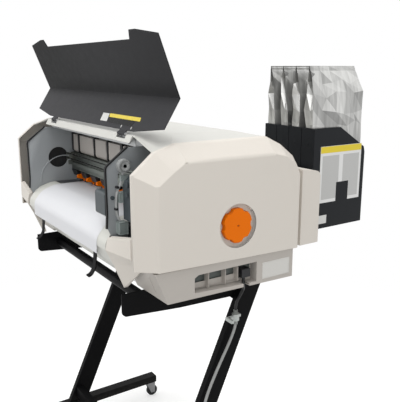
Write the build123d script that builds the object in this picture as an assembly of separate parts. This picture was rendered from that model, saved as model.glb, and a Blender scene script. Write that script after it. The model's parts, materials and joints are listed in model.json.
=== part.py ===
from build123d import *
from math import cos, pi, radians, sin, tan
import os

# Large format inkjet printer on a leaning stand, open hood, ink rack behind.
# Millimetres. X runs along the machine, +X to the knob side, -Y is the front, Z is up.
# The layout below is written from the middle of the machine, with heights from a level above the floor.
# FLOOR and PLAN_SHIFT then bring the finished pieces down to the floor and centre their footprint.

# Overall body
BODY_HALF = 580.0
COVER_DEPTH = 65.0
RIDGE_DEPTH = 50.0
WALL = 4.0
SHEET = 2.0
FIT = 0.3
RUN = 0.05
BODY_FRONT = -288.0
BODY_BACK = 327.0
BODY_TOP = 1242.0
CROWN = 1254.0
COVER_FLOOR_FRONT = 881.0
COVER_FLOOR_BACK = 866.0
BASE_FLOOR_FRONT = 776.0
BASE_FLOOR_BACK = 766.0
BASE_STEP = 8.0
BASE_BACK = 285.0
BASE_FRONT_TOP = -245.0
BASE_FRONT_FLOOR = -203.0
FRONT_COVER_END = 380.0

# Inner side walls
INNER_WALL = 373.0
INNER_SHEET = 3.0
TRAY_FLOOR = 784.0
TRAY_FRONT = -188.0
TRAY_FRONT_TOP = 928.0
WALL_EDGE = [(-220, 1219), (-294, 1163), (-292, 1020), (-295, 975)]
WALL_EDGE_ROUND = [16, 120]
WALL_OUTLINE = WALL_EDGE + [(-262, 905), (-205, 800), (-205, TRAY_FLOOR + SHEET), (270, TRAY_FLOOR + SHEET),
                            (270, 1188), (232, 1214)]
GASKET = 5.0
LEFT_HOLE = 42.0
LEFT_RING = 100.0
LEFT_RING_AT = (-150.0, 1000.0)

# Hood
HINGE_Y = -201.0
HINGE_Z = 1254.0
HOOD_HALF = 533.0
HOOD_TOP_HALF = 365.0
HOOD_TOP_DEPTH = 134.8
HOOD_FRONT_DEPTH = 190.0
HOOD_TAB = 18.0
HOOD_TAB_IN = 355.0
HOOD_TAB_OUT = 408.0
HOOD_SHEET = 3.0
HOOD_OPEN_TILT = 57.7
HOOD_BEND = 53.3
HOOD_EDGE = 11.0
TOP_SLOTS = 6
TOP_SLOT_X = 150.0
TOP_SLOT_PITCH = 22.0
HINGE_PIN = 3.0
HINGE_BARREL = 6.0
HINGE_PLACES = [-300.0, 300.0]
HINGE_LENGTH = 50.0

# Media path, the same line for the sheet, the guides and the platen
PLATEN_TOP = 992.0
MEDIA_HALF = 305.0
MEDIA_THICK = 0.4
PATH = [(322, 1128), (150, PLATEN_TOP), (-212, PLATEN_TOP), (-268, 974), (-303, 932)]
PATH_ROUND = [120, 120, 80]
MEDIA_CUT = 880.0
GUIDE_HALF = 368.0
GUIDE_SHEET = 2.5
GUIDE_FRONT_LENGTH = 26.0
PLATEN_FRONT = -188.0
PLATEN_DEEP = 30.0

# Feed roller, knob shaft and their toothed belt
FEED_Y = -90.0
FEED_RADIUS = 11.9
FEED_SLOT = 2.0
FEED_Z = PLATEN_TOP - 0.1 - FEED_RADIUS
KNOB_Y = 47.0
KNOB_Z = 980.0
KNOB_RADIUS = 55.0
KNOB_LOBES = 6
KNOB_LOBE_DEPTH = 6.0
KNOB_SCOOP = 0.3
KNOB_THICK = 17.0
KNOB_WELL = 70.0
KNOB_WELL_DEEP = 18.0
SHAFT_RADIUS = 5.0
SPINDLE = 3.0
RELEASE_PIN = 6.0
HOLD_DEPTH = 34.0
FEED_PULLEY = 21.0
MOTOR_PULLEY = 14.0
PULLEY_WIDTH = 12.0
PULLEY_FLANGE = 3.0
PULLEY_X = 396.0
BELT_THICK = 1.8
BELT_WIDTH = 9.0
BELT_SEAT = 0.1

# Pinch rollers on lifting levers
PINCH_RADIUS = 6.0
PINCH_PITCH = 96.0
PINCH_COUNT = 7
PINCH_LENGTH = 44.0
PIVOT_Y = -68.0
PIVOT_Z = 1024.0
PIVOT_RADIUS = 4.0
LEVER_WIDTH = 16.0
LEVER_TIP_Y = -122.0
RELEASE_X = 330.0
RELEASE_AXIS = (-277.0, 1070.0)

# Rail beam, linear rail and carriage
BEAM_FRONT = -112.0
BEAM_DEEP = 60.0
BEAM_FLOOR = 1040.0
BEAM_TOP = 1110.0
BEAM_WALL = 4.0
BEAM_END = 506.0
RAIL_SIZE = 12.0
RAIL_Z = 1066.0
CARRIAGE_FRONT = -250.0
CARRIAGE_BACK = -132.0
CARRIAGE_FLOOR = 1003.0
CARRIAGE_TOP = 1142.0
CARRIAGE_HALF = 53.0
CARRIAGE_PARK = 445.0
HEAD_FLOOR = 994.6
HEAD_HALF = 14.0
HEAD_PLACES = [-19.0, 19.0]
DRIVE_BELT_Z = 1094.0
DRIVE_PULLEY = 9.0
DRIVE_PULLEY_X = 492.0
DRIVE_BELT_Y = -128.0
DRIVE_BELT_WIDTH = 8.0
WINDOW = [(-256, 986), (-102, 1148)]

# Upper row of duct panels with black straps between
DUCT_FLOOR = 1112.0
DUCT_TOP = 1186.0
DUCT_DEEP = 22.0
DUCT_BACK = -84.0
DUCT_EDGES = [-364, -296, -140, -20, 100, 220, 364]
STRAP_WIDTH = 9.0

# Capping station in the right bay
CAP_TOP = 992.0

# Rear housing
REAR_HALF = 560.0
REAR_FRONT = BODY_BACK + FIT
REAR_BACK = 411.0
REAR_FLOOR = 862.0
REAR_TOP_FRONT = 1126.0
REAR_TOP_BACK = 1112.0
REAR_ROUND = 24.0

# Ink rack
RACK_OUT = 500.0
RACK_PITCH = 66.5
RACK_COUNT = 4
RACK_FRONT = 434.0
RACK_BACK = 696.0
RACK_TOP = 1248.0
RACK_FLOOR = 884.0
RACK_WALL = 2.5
RACK_TOP_BACK = 562.0
RACK_SHOULDER = (690, 1170)
POUCH_TOP = 1460.0
POUCH_SEAL = 6.0

# Stand
FLOOR = -180.0
PLATE_X = 404.0
PLATE_THICK = 6.0
LEG_WIDTH = 24.0
LEG_DEPTH = 88.0
LEG_LEAN = 0.455
LEG_FRONT_400 = 45.0
LEG_TOP = 740.0
LEG_WALL = 3.0
FOOT_FRONT = -330.0
FOOT_BACK = 285.0
FOOT_FLOOR = FLOOR + 78.0
FOOT_TOP = FLOOR + 112.0
FOOT_WIDTH = 50.0
FOOT_WALL = 3.0
STRETCHER_RISE = 20.0
STRETCHER_TALL = 50.0
STRETCHER_DEEP = 30.0
TUBE_RADIUS = 18.5
TUBE_WALL = 2.5
CASTER_INSET = 34.0
WHEEL_RADIUS = 27.0
WHEEL_Z = FLOOR + WHEEL_RADIUS
WHEEL_WIDTH = 22.0
WHEEL_TRAIL = 20.0
STEM_RADIUS = 5.5
AXLE_RADIUS = 4.0

# Drain
HOOK_WIDTH = 22.0
HOOK_THICK = 4.0
APRON_LINE = [(-300.5, 904), (-268, 850), (-206, 786)]
HOOK_LINE = [(-295.7, 896), (-284.3, 877), (-290, 816), (-305, 792), (-318, 789)]

HOSE_RADIUS = 5.0
HOSE_BORE = 3.5
BOTTLE_TALL = 170.0
DRAIN_AT = (554.0, 90.0, 800.0)
DRAIN_BLOCK = (30.0, 34.0, 28.0)
COCK = (442.3, 146.0, 603.0)
COCK_HALF = 26.0
WASTE_AT = (467.3, -6.0, 236.0)
BLACK_HOSE_PATH = [DRAIN_AT, (554, 90, 762), (500, 134, 730), (452, 164, 692), (COCK[0], COCK[1], 655),
                   (COCK[0], COCK[1], COCK[2] + COCK_HALF)]
CLEAR_HOSE_PATH = [(COCK[0], COCK[1], COCK[2] - COCK_HALF), (COCK[0], COCK[1], 555), (COCK[0], 55, 400),
                   (COCK[0], 12, 305), (WASTE_AT[0], WASTE_AT[1], 268), WASTE_AT]

PLAN_SHIFT = -(FOOT_FRONT + RACK_BACK) / 2


def outline(points, radius=0, corners=()):
    """A closed profile in the side view (Y, Z), with some of its corners rounded."""
    face = make_face(Plane.YZ * Polyline(*points, close=True))
    if radius:
        picked = [face.vertices().sort_by_distance((0, *points[i]))[0] for i in corners]
        face = fillet(picked, radius)
    return face


def across(profile, x_from, x_to):
    """A side-view profile carried across the machine between two X positions."""
    return extrude(Pos(x_from, 0, 0) * profile, amount=x_to - x_from, dir=(1, 0, 0))


def block(low, high):
    """A rectangular block between two opposite corners."""
    size = [high[i] - low[i] for i in range(3)]
    middle = [(high[i] + low[i]) / 2 for i in range(3)]
    return Pos(*middle) * Box(*size)


def rod_x(x_from, x_to, y, z, radius):
    """A round bar along X."""
    return Pos((x_from + x_to) / 2, y, z) * Rot(0, 90, 0) * Cylinder(radius, abs(x_to - x_from))


def rod_y(y_from, y_to, x, z, radius):
    """A round bar along Y."""
    return Pos(x, (y_from + y_to) / 2, z) * Rot(90, 0, 0) * Cylinder(radius, abs(y_to - y_from))


def rod_z(z_from, z_to, x, y, radius):
    """A round bar along Z."""
    return Pos(x, y, (z_from + z_to) / 2) * Cylinder(radius, abs(z_to - z_from))


def mirrored(shape):
    """The same piece on the other side of the machine."""
    return shape.mirror(Plane.YZ)


def inset(profile, amount):
    """A profile drawn in by a wall thickness."""
    return offset(profile, amount=-amount, kind=Kind.INTERSECTION)


def bent_strip(points, rounds, thickness, toward):
    """A sheet's edge view: a rounded line thickened to the side where the point (Y, Z) lies."""
    line = Plane.YZ * FilletPolyline(*points, radius=rounds)
    sides = [make_face(offset(line, amount=thickness, side=side).edges()) for side in (Side.LEFT,
                                                                                       Side.RIGHT)]
    return min(sides, key=lambda face: (face.center() - Vector(0, *toward)).length)


def cover_ring():
    """The side cover's outline at the ridge, counter-clockwise from its lower front corner."""
    return [(BODY_FRONT, COVER_FLOOR_FRONT), (BODY_FRONT, 1162), (-218, 1220), (-148, BODY_TOP),
            (190, BODY_TOP), (250, 1213), (305, 1172), (BODY_BACK, 1130), (BODY_BACK, COVER_FLOOR_BACK)]


def cover_face():
    """The same outline at the flat outer face, drawn in by the bevel."""
    return [(-234, COVER_FLOOR_FRONT), (-234, 1129), (-180, 1168), (-137, 1194),
            (186, 1191), (236, 1180), (280, 1150), (299, 1112), (299, COVER_FLOOR_BACK)]


def side_cover(has_knob):
    """Side cover: a moulded shell, wide bevel round its face, on the right with a well for the knob."""
    ridge = BODY_HALF - RIDGE_DEPTH
    back_x = BODY_HALF - COVER_DEPTH
    rim = outline(cover_ring())
    face = outline(cover_face())
    outer = across(rim, back_x, ridge) + loft([Pos(ridge, 0, 0) * rim, Pos(BODY_HALF, 0, 0) * face],
                                              ruled=True)
    inner_rim = inset(rim, WALL)
    inner_face = inset(face, WALL)
    hollow = across(inner_rim, back_x, ridge) + loft(
        [Pos(ridge, 0, 0) * inner_rim, Pos(BODY_HALF - WALL, 0, 0) * inner_face], ruled=True)
    shell = outer - hollow
    if not has_knob:
        return shell.solid()
    well = rod_x(BODY_HALF - KNOB_WELL_DEEP - WALL, BODY_HALF - WALL / 2, KNOB_Y, KNOB_Z, KNOB_WELL + WALL)
    well_hollow = rod_x(BODY_HALF - KNOB_WELL_DEEP, BODY_HALF + 1, KNOB_Y, KNOB_Z, KNOB_WELL)
    shaft_hole = rod_x(back_x, BODY_HALF, KNOB_Y, KNOB_Z, SHAFT_RADIUS + 1)
    return (shell + well - well_hollow - shaft_hole).solid()


def knob():
    """Hand wheel with shallow finger lobes and a small dimple, fixed on the end of the knob shaft."""
    x_in = BODY_HALF - KNOB_THICK
    x_out = x_in + KNOB_THICK
    body = rod_x(x_in, x_out, KNOB_Y, KNOB_Z, KNOB_RADIUS)
    scoop_radius = KNOB_RADIUS * KNOB_SCOOP
    for i in range(KNOB_LOBES):
        turn = 2 * pi * (i + 0.5) / KNOB_LOBES
        reach = KNOB_RADIUS + scoop_radius - KNOB_LOBE_DEPTH
        body -= rod_x(x_in - 1, x_out + 1, KNOB_Y + reach * sin(turn), KNOB_Z + reach * cos(turn),
                      scoop_radius)
    body = chamfer(body.faces().sort_by(Axis.X)[-1].edges(), 2.5)
    body -= rod_x(x_out - 3, x_out + 1, KNOB_Y, KNOB_Z, 4)
    body -= rod_x(x_in - 1, x_in + KNOB_THICK * 0.6, KNOB_Y, KNOB_Z, SHAFT_RADIUS)
    return body.solid()


def base_cover():
    """Right lower band: an open-topped moulded tray with a hand hold cut in its side."""
    out_x = BODY_HALF - BASE_STEP
    shape = [(BASE_FRONT_TOP, COVER_FLOOR_FRONT - 4), (BASE_FRONT_FLOOR, BASE_FLOOR_FRONT),
             (BASE_BACK, BASE_FLOOR_BACK), (BASE_BACK, COVER_FLOOR_BACK - FIT)]
    slope = [(BASE_FRONT_TOP - 30, COVER_FLOOR_FRONT + 2), (BODY_BACK, COVER_FLOOR_BACK - FIT),
             (BODY_BACK, BODY_TOP), (BASE_FRONT_TOP - 30, BODY_TOP)]
    outer = across(outline(shape), FRONT_COVER_END, out_x) - across(outline(slope), FRONT_COVER_END, out_x)
    drawn_in = inset(outline(shape), WALL)
    hollow = across(drawn_in, FRONT_COVER_END - 1, out_x - WALL)
    lid = block((FRONT_COVER_END - 1, BASE_FRONT_TOP + 12, COVER_FLOOR_BACK - 10),
                (out_x - WALL, BASE_BACK - WALL, COVER_FLOOR_FRONT + 10))
    tray = outer - hollow - lid
    pocket_depth = HOLD_DEPTH
    hold = outline([(-108, 791), (-108, 838), (-94, 846), (130, 846), (130, 779)])
    cup = across(offset(hold, amount=WALL, kind=Kind.INTERSECTION), out_x - pocket_depth - WALL,
                 out_x - WALL / 2)
    cup &= across(drawn_in, FRONT_COVER_END, out_x)
    tray = tray + cup - across(hold, out_x - pocket_depth, out_x + 1)
    ledge = block((out_x - pocket_depth + 4, -96, 794), (out_x - pocket_depth + 6, 66, 812))
    for y in (-52.0, 12.0, 60.0):
        ledge += block((out_x - pocket_depth - 1, y, 792), (out_x - 10, y + 3, 845))
    tray -= block((out_x - 26, DRAIN_AT[1] - 12, BASE_FLOOR_BACK - 10),
                  (out_x + 1, DRAIN_AT[1] + 12, DRAIN_AT[2]))
    plate_slot = block((FRONT_COVER_END - 1, -196, BASE_FLOOR_BACK - 10),
                       (PLATE_X + 4, BASE_BACK - 2, TRAY_FLOOR + 6))
    slit = block((BODY_HALF - 62, -262, 796), (BODY_HALF - 59, -180, 852))
    return (tray + ledge - slit - plate_slot).solids().sort_by(SortBy.VOLUME)[-1]


def front_cover():
    """Right front corner piece: a lip beside the media, tapering to a nose on the lower band."""
    inner = [(-284, 953), (-301, 949), (-309, 912), (-288, 870), (-250, BASE_FLOOR_FRONT + 1),
             (-236, BASE_FLOOR_FRONT + 1), (-262, 874), (-281, 914)]
    outer = [(-274, 979), (-291, 975), (-292, 915), (-250, 881.5), (-249, 880), (-247, 880), (-250, 885),
             (-270, 920)]
    piece = loft([Pos(FRONT_COVER_END, 0, 0) * outline(inner),
                  Pos(BODY_HALF - COVER_DEPTH - FIT, 0, 0) * outline(outer)], ruled=True)
    piece -= base_cover_envelope()
    return piece.solids().sort_by(SortBy.VOLUME)[-1]


def base_cover_envelope():
    """The space of the lower band, kept clear by the front corner piece."""
    shape = [(BASE_FRONT_TOP - FIT, COVER_FLOOR_FRONT), (BASE_FRONT_FLOOR - FIT, BASE_FLOOR_FRONT - FIT),
             (BASE_BACK, BASE_FLOOR_BACK), (BASE_BACK, COVER_FLOOR_FRONT)]
    return across(outline(shape), FRONT_COVER_END - 1, BODY_HALF)


def crown_line(lower):
    """The top cover's upper line from front to back, at the middle or lowered to the side covers."""
    if lower:
        return [(-216, 1219), (-148, BODY_TOP - 1), (188, BODY_TOP - 1), (250, 1212), (300, 1172),
                (314, 1153)]
    return [(-203, CROWN - 1), (-60, CROWN), (188, BODY_TOP + 2), (250, 1213), (300, 1173), (314, 1154)]


def skin_profile(lower):
    """The top cover's wall in the side view."""
    line = crown_line(lower)
    under = [(-199, CROWN - 1 - WALL), (-60, CROWN - WALL), (187, BODY_TOP + 2 - WALL),
             (248, 1213 - WALL - 0.5),
             (297, 1173 - WALL), (310, 1154 - SHEET)]
    if lower:
        under = [(-213, 1219 - WALL), (-146, BODY_TOP - 1 - WALL), (187, BODY_TOP - 1 - WALL),
                 (248, 1212 - WALL - 0.5),
                 (297, 1172 - WALL), (310, 1153 - SHEET)]
    return outline(line + under[::-1])


def top_cover():
    """Top shell between the side covers, its ends falling to them, its lip carrying the hood's hinges."""
    half = BODY_HALF - COVER_DEPTH - FIT
    cover = across(skin_profile(False), -INNER_WALL, INNER_WALL)
    end = loft([Pos(INNER_WALL, 0, 0) * skin_profile(False), Pos(half, 0, 0) * skin_profile(True)],
               ruled=True)
    cover += end + mirrored(end)
    lip = outline([(-203, CROWN - 1), (-215, 1231), (-211, 1229), (-198, CROWN - 6)])
    cover += across(lip, -INNER_WALL, INNER_WALL)
    for x in HINGE_PLACES:
        reach = HINGE_LENGTH / 2 + 6
        cover -= rod_x(x - reach, x + reach, HINGE_Y, HINGE_Z, HOOD_EDGE + 4)
    for i in range(TOP_SLOTS):
        x = TOP_SLOT_X + TOP_SLOT_PITCH * i
        cover -= block((x, -60, CROWN - 20), (x + 12, -44, CROWN + 20))
    return cover.solids().sort_by(SortBy.VOLUME)[-1]


def hood():
    """Bent sheet hood, open and resting on its stop; hinge barrels run along its rear edge."""
    bend_y = HINGE_Y + HOOD_TOP_DEPTH * cos(radians(HOOD_OPEN_TILT))
    bend_z = HINGE_Z + HOOD_TOP_DEPTH * sin(radians(HOOD_OPEN_TILT))
    first = Plane(origin=(0, HINGE_Y, HINGE_Z), x_dir=(1, 0, 0),
                  z_dir=(0, -sin(radians(HOOD_OPEN_TILT)), cos(radians(HOOD_OPEN_TILT))))
    second_tilt = HOOD_OPEN_TILT + HOOD_BEND
    second = Plane(origin=(0, bend_y, bend_z), x_dir=(1, 0, 0),
                   z_dir=(0, -sin(radians(second_tilt)), cos(radians(second_tilt))))
    shoulder = 34.0
    rear_edge = HOOD_EDGE
    top_panel = first * make_face(Polyline(
        (-HOOD_TOP_HALF, rear_edge), (HOOD_TOP_HALF, rear_edge), (HOOD_HALF, shoulder), (HOOD_HALF,
                                                                                         HOOD_TOP_DEPTH),
        (-HOOD_HALF, HOOD_TOP_DEPTH), (-HOOD_HALF, shoulder), close=True))
    front_panel = second * make_face(Polyline(
        (-HOOD_HALF, 0), (HOOD_HALF, 0), (HOOD_HALF, HOOD_FRONT_DEPTH), (HOOD_TAB_OUT,
                                                                         HOOD_FRONT_DEPTH + HOOD_TAB),
        (HOOD_TAB_IN + 15, HOOD_FRONT_DEPTH + HOOD_TAB), (HOOD_TAB_IN, HOOD_FRONT_DEPTH - 10),
        (-HOOD_TAB_IN, HOOD_FRONT_DEPTH - 10), (-HOOD_TAB_IN - 15, HOOD_FRONT_DEPTH + HOOD_TAB),
        (-HOOD_TAB_OUT, HOOD_FRONT_DEPTH + HOOD_TAB), (-HOOD_HALF, HOOD_FRONT_DEPTH), close=True))
    sheet = extrude(top_panel, amount=HOOD_SHEET) + extrude(front_panel, amount=HOOD_SHEET)
    corner = outline([(bend_y, bend_z),
                      (bend_y - HOOD_SHEET * sin(radians(HOOD_OPEN_TILT)),
                       bend_z + HOOD_SHEET * cos(radians(HOOD_OPEN_TILT))),
                      (bend_y - HOOD_SHEET * sin(radians(second_tilt)),
                       bend_z + HOOD_SHEET * cos(radians(second_tilt)))])
    sheet += across(corner, -HOOD_HALF, HOOD_HALF)
    for x in HINGE_PLACES:
        barrel = rod_x(x - HINGE_LENGTH / 2, x + HINGE_LENGTH / 2, HINGE_Y, HINGE_Z, HINGE_BARREL)
        leaf = first * Pos(x, (rear_edge + 8) / 2, HOOD_SHEET / 2) * Box(HINGE_LENGTH, rear_edge + 8,
                                                                         HOOD_SHEET)
        sheet += barrel + leaf
    for x in HINGE_PLACES:
        sheet -= rod_x(x - HINGE_LENGTH, x + HINGE_LENGTH, HINGE_Y, HINGE_Z, HINGE_PIN + RUN)
    return sheet.solids().sort_by(SortBy.VOLUME)[-1]


def hood_pivots():
    """Two bent hinge brackets screwed to the top cover's lip, each with its pin through the hood's barrel."""
    pieces = []
    for x in HINGE_PLACES:
        ear_in = HINGE_LENGTH / 2 + FIT
        pin = rod_x(x - ear_in - 4, x + ear_in + 4, HINGE_Y, HINGE_Z, HINGE_PIN)
        bracket = pin
        for side in (-1, 1):
            near = x + side * ear_in
            far = x + side * (ear_in + 3)
            ear = block((min(near, far), HINGE_Y - 1, HINGE_Z - 26), (max(near, far), HINGE_Y + 9, HINGE_Z))
            bracket += ear + rod_x(near, far, HINGE_Y, HINGE_Z, HINGE_BARREL - 1)
        bracket += block((x - ear_in - 3, HINGE_Y + 6, HINGE_Z - 32),
                         (x + ear_in + 3, HINGE_Y + 10, HINGE_Z - 14))
        pieces.append(bracket)
    return pieces


def rear_housing():
    """Full-width electronics housing behind the body, hollow, with air slots and a rounded top rear edge."""
    shape = [(REAR_FRONT, REAR_FLOOR), (REAR_FRONT, REAR_TOP_FRONT), (REAR_BACK, REAR_TOP_BACK),
             (REAR_BACK, REAR_FLOOR)]
    outer = outline(shape, REAR_ROUND, (2,))
    shell = across(outer, -REAR_HALF, REAR_HALF)
    shell -= across(inset(outer, WALL), -REAR_HALF + WALL, REAR_HALF - WALL)
    for side in (-1, 1):
        for i in range(12):
            x = side * (250 + 16 * i)
            shell -= block((x - 3, REAR_BACK - 12, 890), (x + 3, REAR_BACK + 1, 960))
    shell -= block((-470, REAR_BACK - 12, 900), (-470 + 48, REAR_BACK + 1, 928))
    shell -= block((-400, REAR_BACK - 12, 903), (-400 + 20, REAR_BACK + 1, 916))
    shell -= block((REAR_HALF - 46, REAR_FRONT + 8, REAR_TOP_FRONT - 12),
                   (REAR_HALF - 10, REAR_FRONT + 14, 1140))
    return shell.solids().sort_by(SortBy.VOLUME)[-1]


def base_frame():
    """Steel tray on the stand with front and rear walls and two cross channels that carry the platen."""
    half = BODY_HALF - COVER_DEPTH - 9
    floor = TRAY_FLOOR
    tray = block((-half, TRAY_FRONT, floor), (half, BASE_BACK - WALL - 1, floor + SHEET))
    tray += block((-half, TRAY_FRONT, floor), (half, TRAY_FRONT + SHEET, TRAY_FRONT_TOP))
    tray += block((-half, BASE_BACK - WALL - 1 - SHEET, floor), (half, BASE_BACK - WALL - 1, 1080))
    for y in (-172.0, 60.0):
        channel = block((-GUIDE_HALF, y, floor + SHEET), (GUIDE_HALF, y + 36, PLATEN_TOP - PLATEN_DEEP))
        channel -= block((-GUIDE_HALF - 1, y + SHEET, floor + SHEET + SHEET),
                         (GUIDE_HALF + 1, y + 36 - SHEET, PLATEN_TOP - PLATEN_DEEP - SHEET))
        tray += channel
    return tray.solid()


def inner_wall(side):
    """Side wall of the printing bay; the right one has a window for the carriage, the left a round boss."""
    shape = outline(WALL_OUTLINE)
    for corner, radius in zip(WALL_EDGE[1:3], WALL_EDGE_ROUND):
        shape = fillet(shape.vertices().sort_by_distance((0, *corner))[0], radius)
    sheet = across(shape, INNER_WALL - INNER_SHEET, INNER_WALL)
    low, high = INNER_WALL - INNER_SHEET - 1, INNER_WALL + 1
    window = across(outline([WINDOW[0], (WINDOW[1][0], WINDOW[0][1]), WINDOW[1],
                             (WINDOW[0][0], WINDOW[1][1])],
                            12, (2, 3)), low, high)
    beam_hole = block((low, BEAM_FRONT - FIT, BEAM_FLOOR - FIT),
                      (high, BEAM_FRONT + BEAM_DEEP + FIT, BEAM_TOP + FIT))
    sheet -= beam_hole
    sheet -= block((low, TRAY_FRONT - FIT, TRAY_FLOOR),
                   (high, TRAY_FRONT + SHEET + FIT, TRAY_FRONT_TOP + FIT))
    sheet -= rod_x(low, high, FEED_Y, FEED_Z, FEED_RADIUS + RUN)
    sheet -= rod_x(low, high, PIVOT_Y, PIVOT_Z, PIVOT_RADIUS + RUN)
    if side > 0:
        sheet -= window
        sheet -= rod_x(low, high, RELEASE_AXIS[0], RELEASE_AXIS[1], RELEASE_PIN + RUN)
        return sheet.solid()
    y, z = LEFT_RING_AT
    ring = rod_x(INNER_WALL - INNER_SHEET - 3, INNER_WALL - INNER_SHEET, y, z, LEFT_RING)
    ring -= rod_x(INNER_WALL - INNER_SHEET - 4, INNER_WALL, y, z, LEFT_RING - 4)
    ring &= block((300, -294, 996), (400, -125, 1150))
    sheet += ring
    sheet -= rod_x(low, high, y - 20, z + 92, LEFT_HOLE)
    sheet -= block((low, BEAM_FRONT - 16, RAIL_Z - 9), (high, BEAM_FRONT, RAIL_Z + 9))
    sheet -= block((low, DRIVE_BELT_Y - 3, DRIVE_BELT_Z - 14), (high, BEAM_FRONT, DRIVE_BELT_Z + 14))
    return mirrored(sheet.solids().sort_by(SortBy.VOLUME)[-1])


def gasket():
    """Black rubber edge strip on the front of the right inner wall."""
    strip = bent_strip(WALL_EDGE, WALL_EDGE_ROUND, GASKET, (-900, 1300))
    piece = across(strip, INNER_WALL - INNER_SHEET - 3, INNER_WALL + 3)
    return piece.solid()


def upper_panel():
    """Folded sheet behind the hood's hinge that carries the duct panels and the top cover."""
    line = [(-191, 1218), (-191, 1248.7), (DUCT_BACK, 1248.7), (DUCT_BACK, DUCT_FLOOR)]
    return across(bent_strip(line, [4, 4], SHEET, (-130, 1180)), -INNER_WALL + INNER_SHEET + FIT,
                  INNER_WALL - INNER_SHEET - FIT).solid()


def duct_panels():
    """Rounded pale panels of the air duct above the beam, one for each span between the straps."""
    panels = []
    back = DUCT_BACK - SHEET
    for left, right in zip(DUCT_EDGES[:-1], DUCT_EDGES[1:]):
        gap = STRAP_WIDTH / 2 + 0.5
        panel = block((left + gap, back - DUCT_DEEP, DUCT_FLOOR), (right - gap, back, DUCT_TOP))
        upright = panel.edges().filter_by(Axis.Z).group_by(Axis.Y)[0]
        panel = fillet(upright, 9)
        lower = panel.faces().sort_by(Axis.Y)[0].edges().sort_by(Axis.Z)[0]
        panel = fillet(lower, 14)
        panels.append(panel)
    return panels


def duct_straps():
    """Black straps between the duct panels, each hooked under the lower edge."""
    straps = []
    back = DUCT_BACK - SHEET
    for x in DUCT_EDGES:
        strap = block((x - STRAP_WIDTH / 2, back - DUCT_DEEP - 1.5, DUCT_FLOOR - 1),
                      (x + STRAP_WIDTH / 2, back, DUCT_TOP + 6))
        low_edge = strap.edges().filter_by(Axis.X).group_by(Axis.Z)[0].sort_by(Axis.Y)[0]
        straps.append(fillet(low_edge, 14))
    return straps


def rail_beam():
    """Extruded hollow beam across the machine, with the linear rail screwed to its front."""
    beam = block((-BEAM_END, BEAM_FRONT, BEAM_FLOOR), (BEAM_END, BEAM_FRONT + BEAM_DEEP, BEAM_TOP))
    beam -= block((-BEAM_END - 1, BEAM_FRONT + BEAM_WALL, BEAM_FLOOR + BEAM_WALL),
                  (BEAM_END + 1, BEAM_FRONT + BEAM_DEEP - BEAM_WALL, BEAM_TOP - BEAM_WALL))
    for z in (BEAM_FLOOR + 9, BEAM_TOP - 7):
        beam -= block((-BEAM_END - 1, BEAM_FRONT - 1, z - 2), (BEAM_END + 1, BEAM_FRONT + 1.5, z + 2))
    for side in (-1, 1):
        beam -= rod_y(BEAM_FRONT - 1, BEAM_FRONT + BEAM_WALL + 1, side * DRIVE_PULLEY_X, DRIVE_BELT_Z,
                      SPINDLE + RUN)
    half = RAIL_SIZE / 2
    rail = block((-BEAM_END + 4, BEAM_FRONT - RAIL_SIZE, RAIL_Z - half),
                 (BEAM_END - 4, BEAM_FRONT, RAIL_Z + half))
    for z in (RAIL_Z - half, RAIL_Z + half):
        rail -= rod_x(-BEAM_END, BEAM_END, BEAM_FRONT - RAIL_SIZE * 0.6, z, 2)
    return [beam.solid(), rail.solid()]


def carriage():
    """Printhead carriage: moulded cover, rail block behind and a clamp on the lower run of the drive belt."""
    middle = CARRIAGE_PARK
    shape = outline([(CARRIAGE_BACK, CARRIAGE_FLOOR), (CARRIAGE_FRONT, CARRIAGE_FLOOR),
                     (CARRIAGE_FRONT, 1112),
                     (-222, CARRIAGE_TOP), (CARRIAGE_BACK, CARRIAGE_TOP)], 8, (2, 3))
    body = across(shape, middle - CARRIAGE_HALF, middle + CARRIAGE_HALF)
    body -= block((middle - CARRIAGE_HALF + WALL, CARRIAGE_FRONT + WALL, CARRIAGE_FLOOR - 1),
                  (middle + CARRIAGE_HALF - WALL, CARRIAGE_BACK - WALL, 1106))
    body += block((middle - CARRIAGE_HALF + 2, CARRIAGE_FRONT + 2, CARRIAGE_FLOOR),
                  (middle + CARRIAGE_HALF - 2, CARRIAGE_BACK, CARRIAGE_FLOOR + 4))
    for offset_x in HEAD_PLACES:
        body -= block((middle + offset_x - HEAD_HALF, -216, CARRIAGE_FLOOR - 1),
                      (middle + offset_x + HEAD_HALF, -150, CARRIAGE_FLOOR + 5))
    grip = block((middle - 30, CARRIAGE_BACK - 1, RAIL_Z - 16), (middle + 30, BEAM_FRONT - FIT, RAIL_Z + 16))
    half = RAIL_SIZE / 2 + RUN
    grip -= block((middle - 31, BEAM_FRONT - RAIL_SIZE - RUN, RAIL_Z - half),
                  (middle + 31, BEAM_FRONT, RAIL_Z + half))
    run_z = DRIVE_BELT_Z - DRIVE_PULLEY - BELT_THICK / 2
    clamp = block((middle - 12, CARRIAGE_BACK - 1, run_z - 4),
                  (middle + 12, DRIVE_BELT_Y + DRIVE_BELT_WIDTH, run_z + 4))
    clamp -= block((middle - 13, DRIVE_BELT_Y - FIT, run_z - BELT_THICK / 2 - FIT),
                   (middle + 13, BEAM_FRONT, run_z + BELT_THICK / 2 + FIT))
    cap = rod_y(CARRIAGE_FRONT - 5, CARRIAGE_FRONT, middle - 22, 1118, 13) + rod_y(
        CARRIAGE_FRONT - 6, CARRIAGE_FRONT, middle - 22, 1085, 9)
    return (body + grip + clamp + cap).solids().sort_by(SortBy.VOLUME)[-1]


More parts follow.
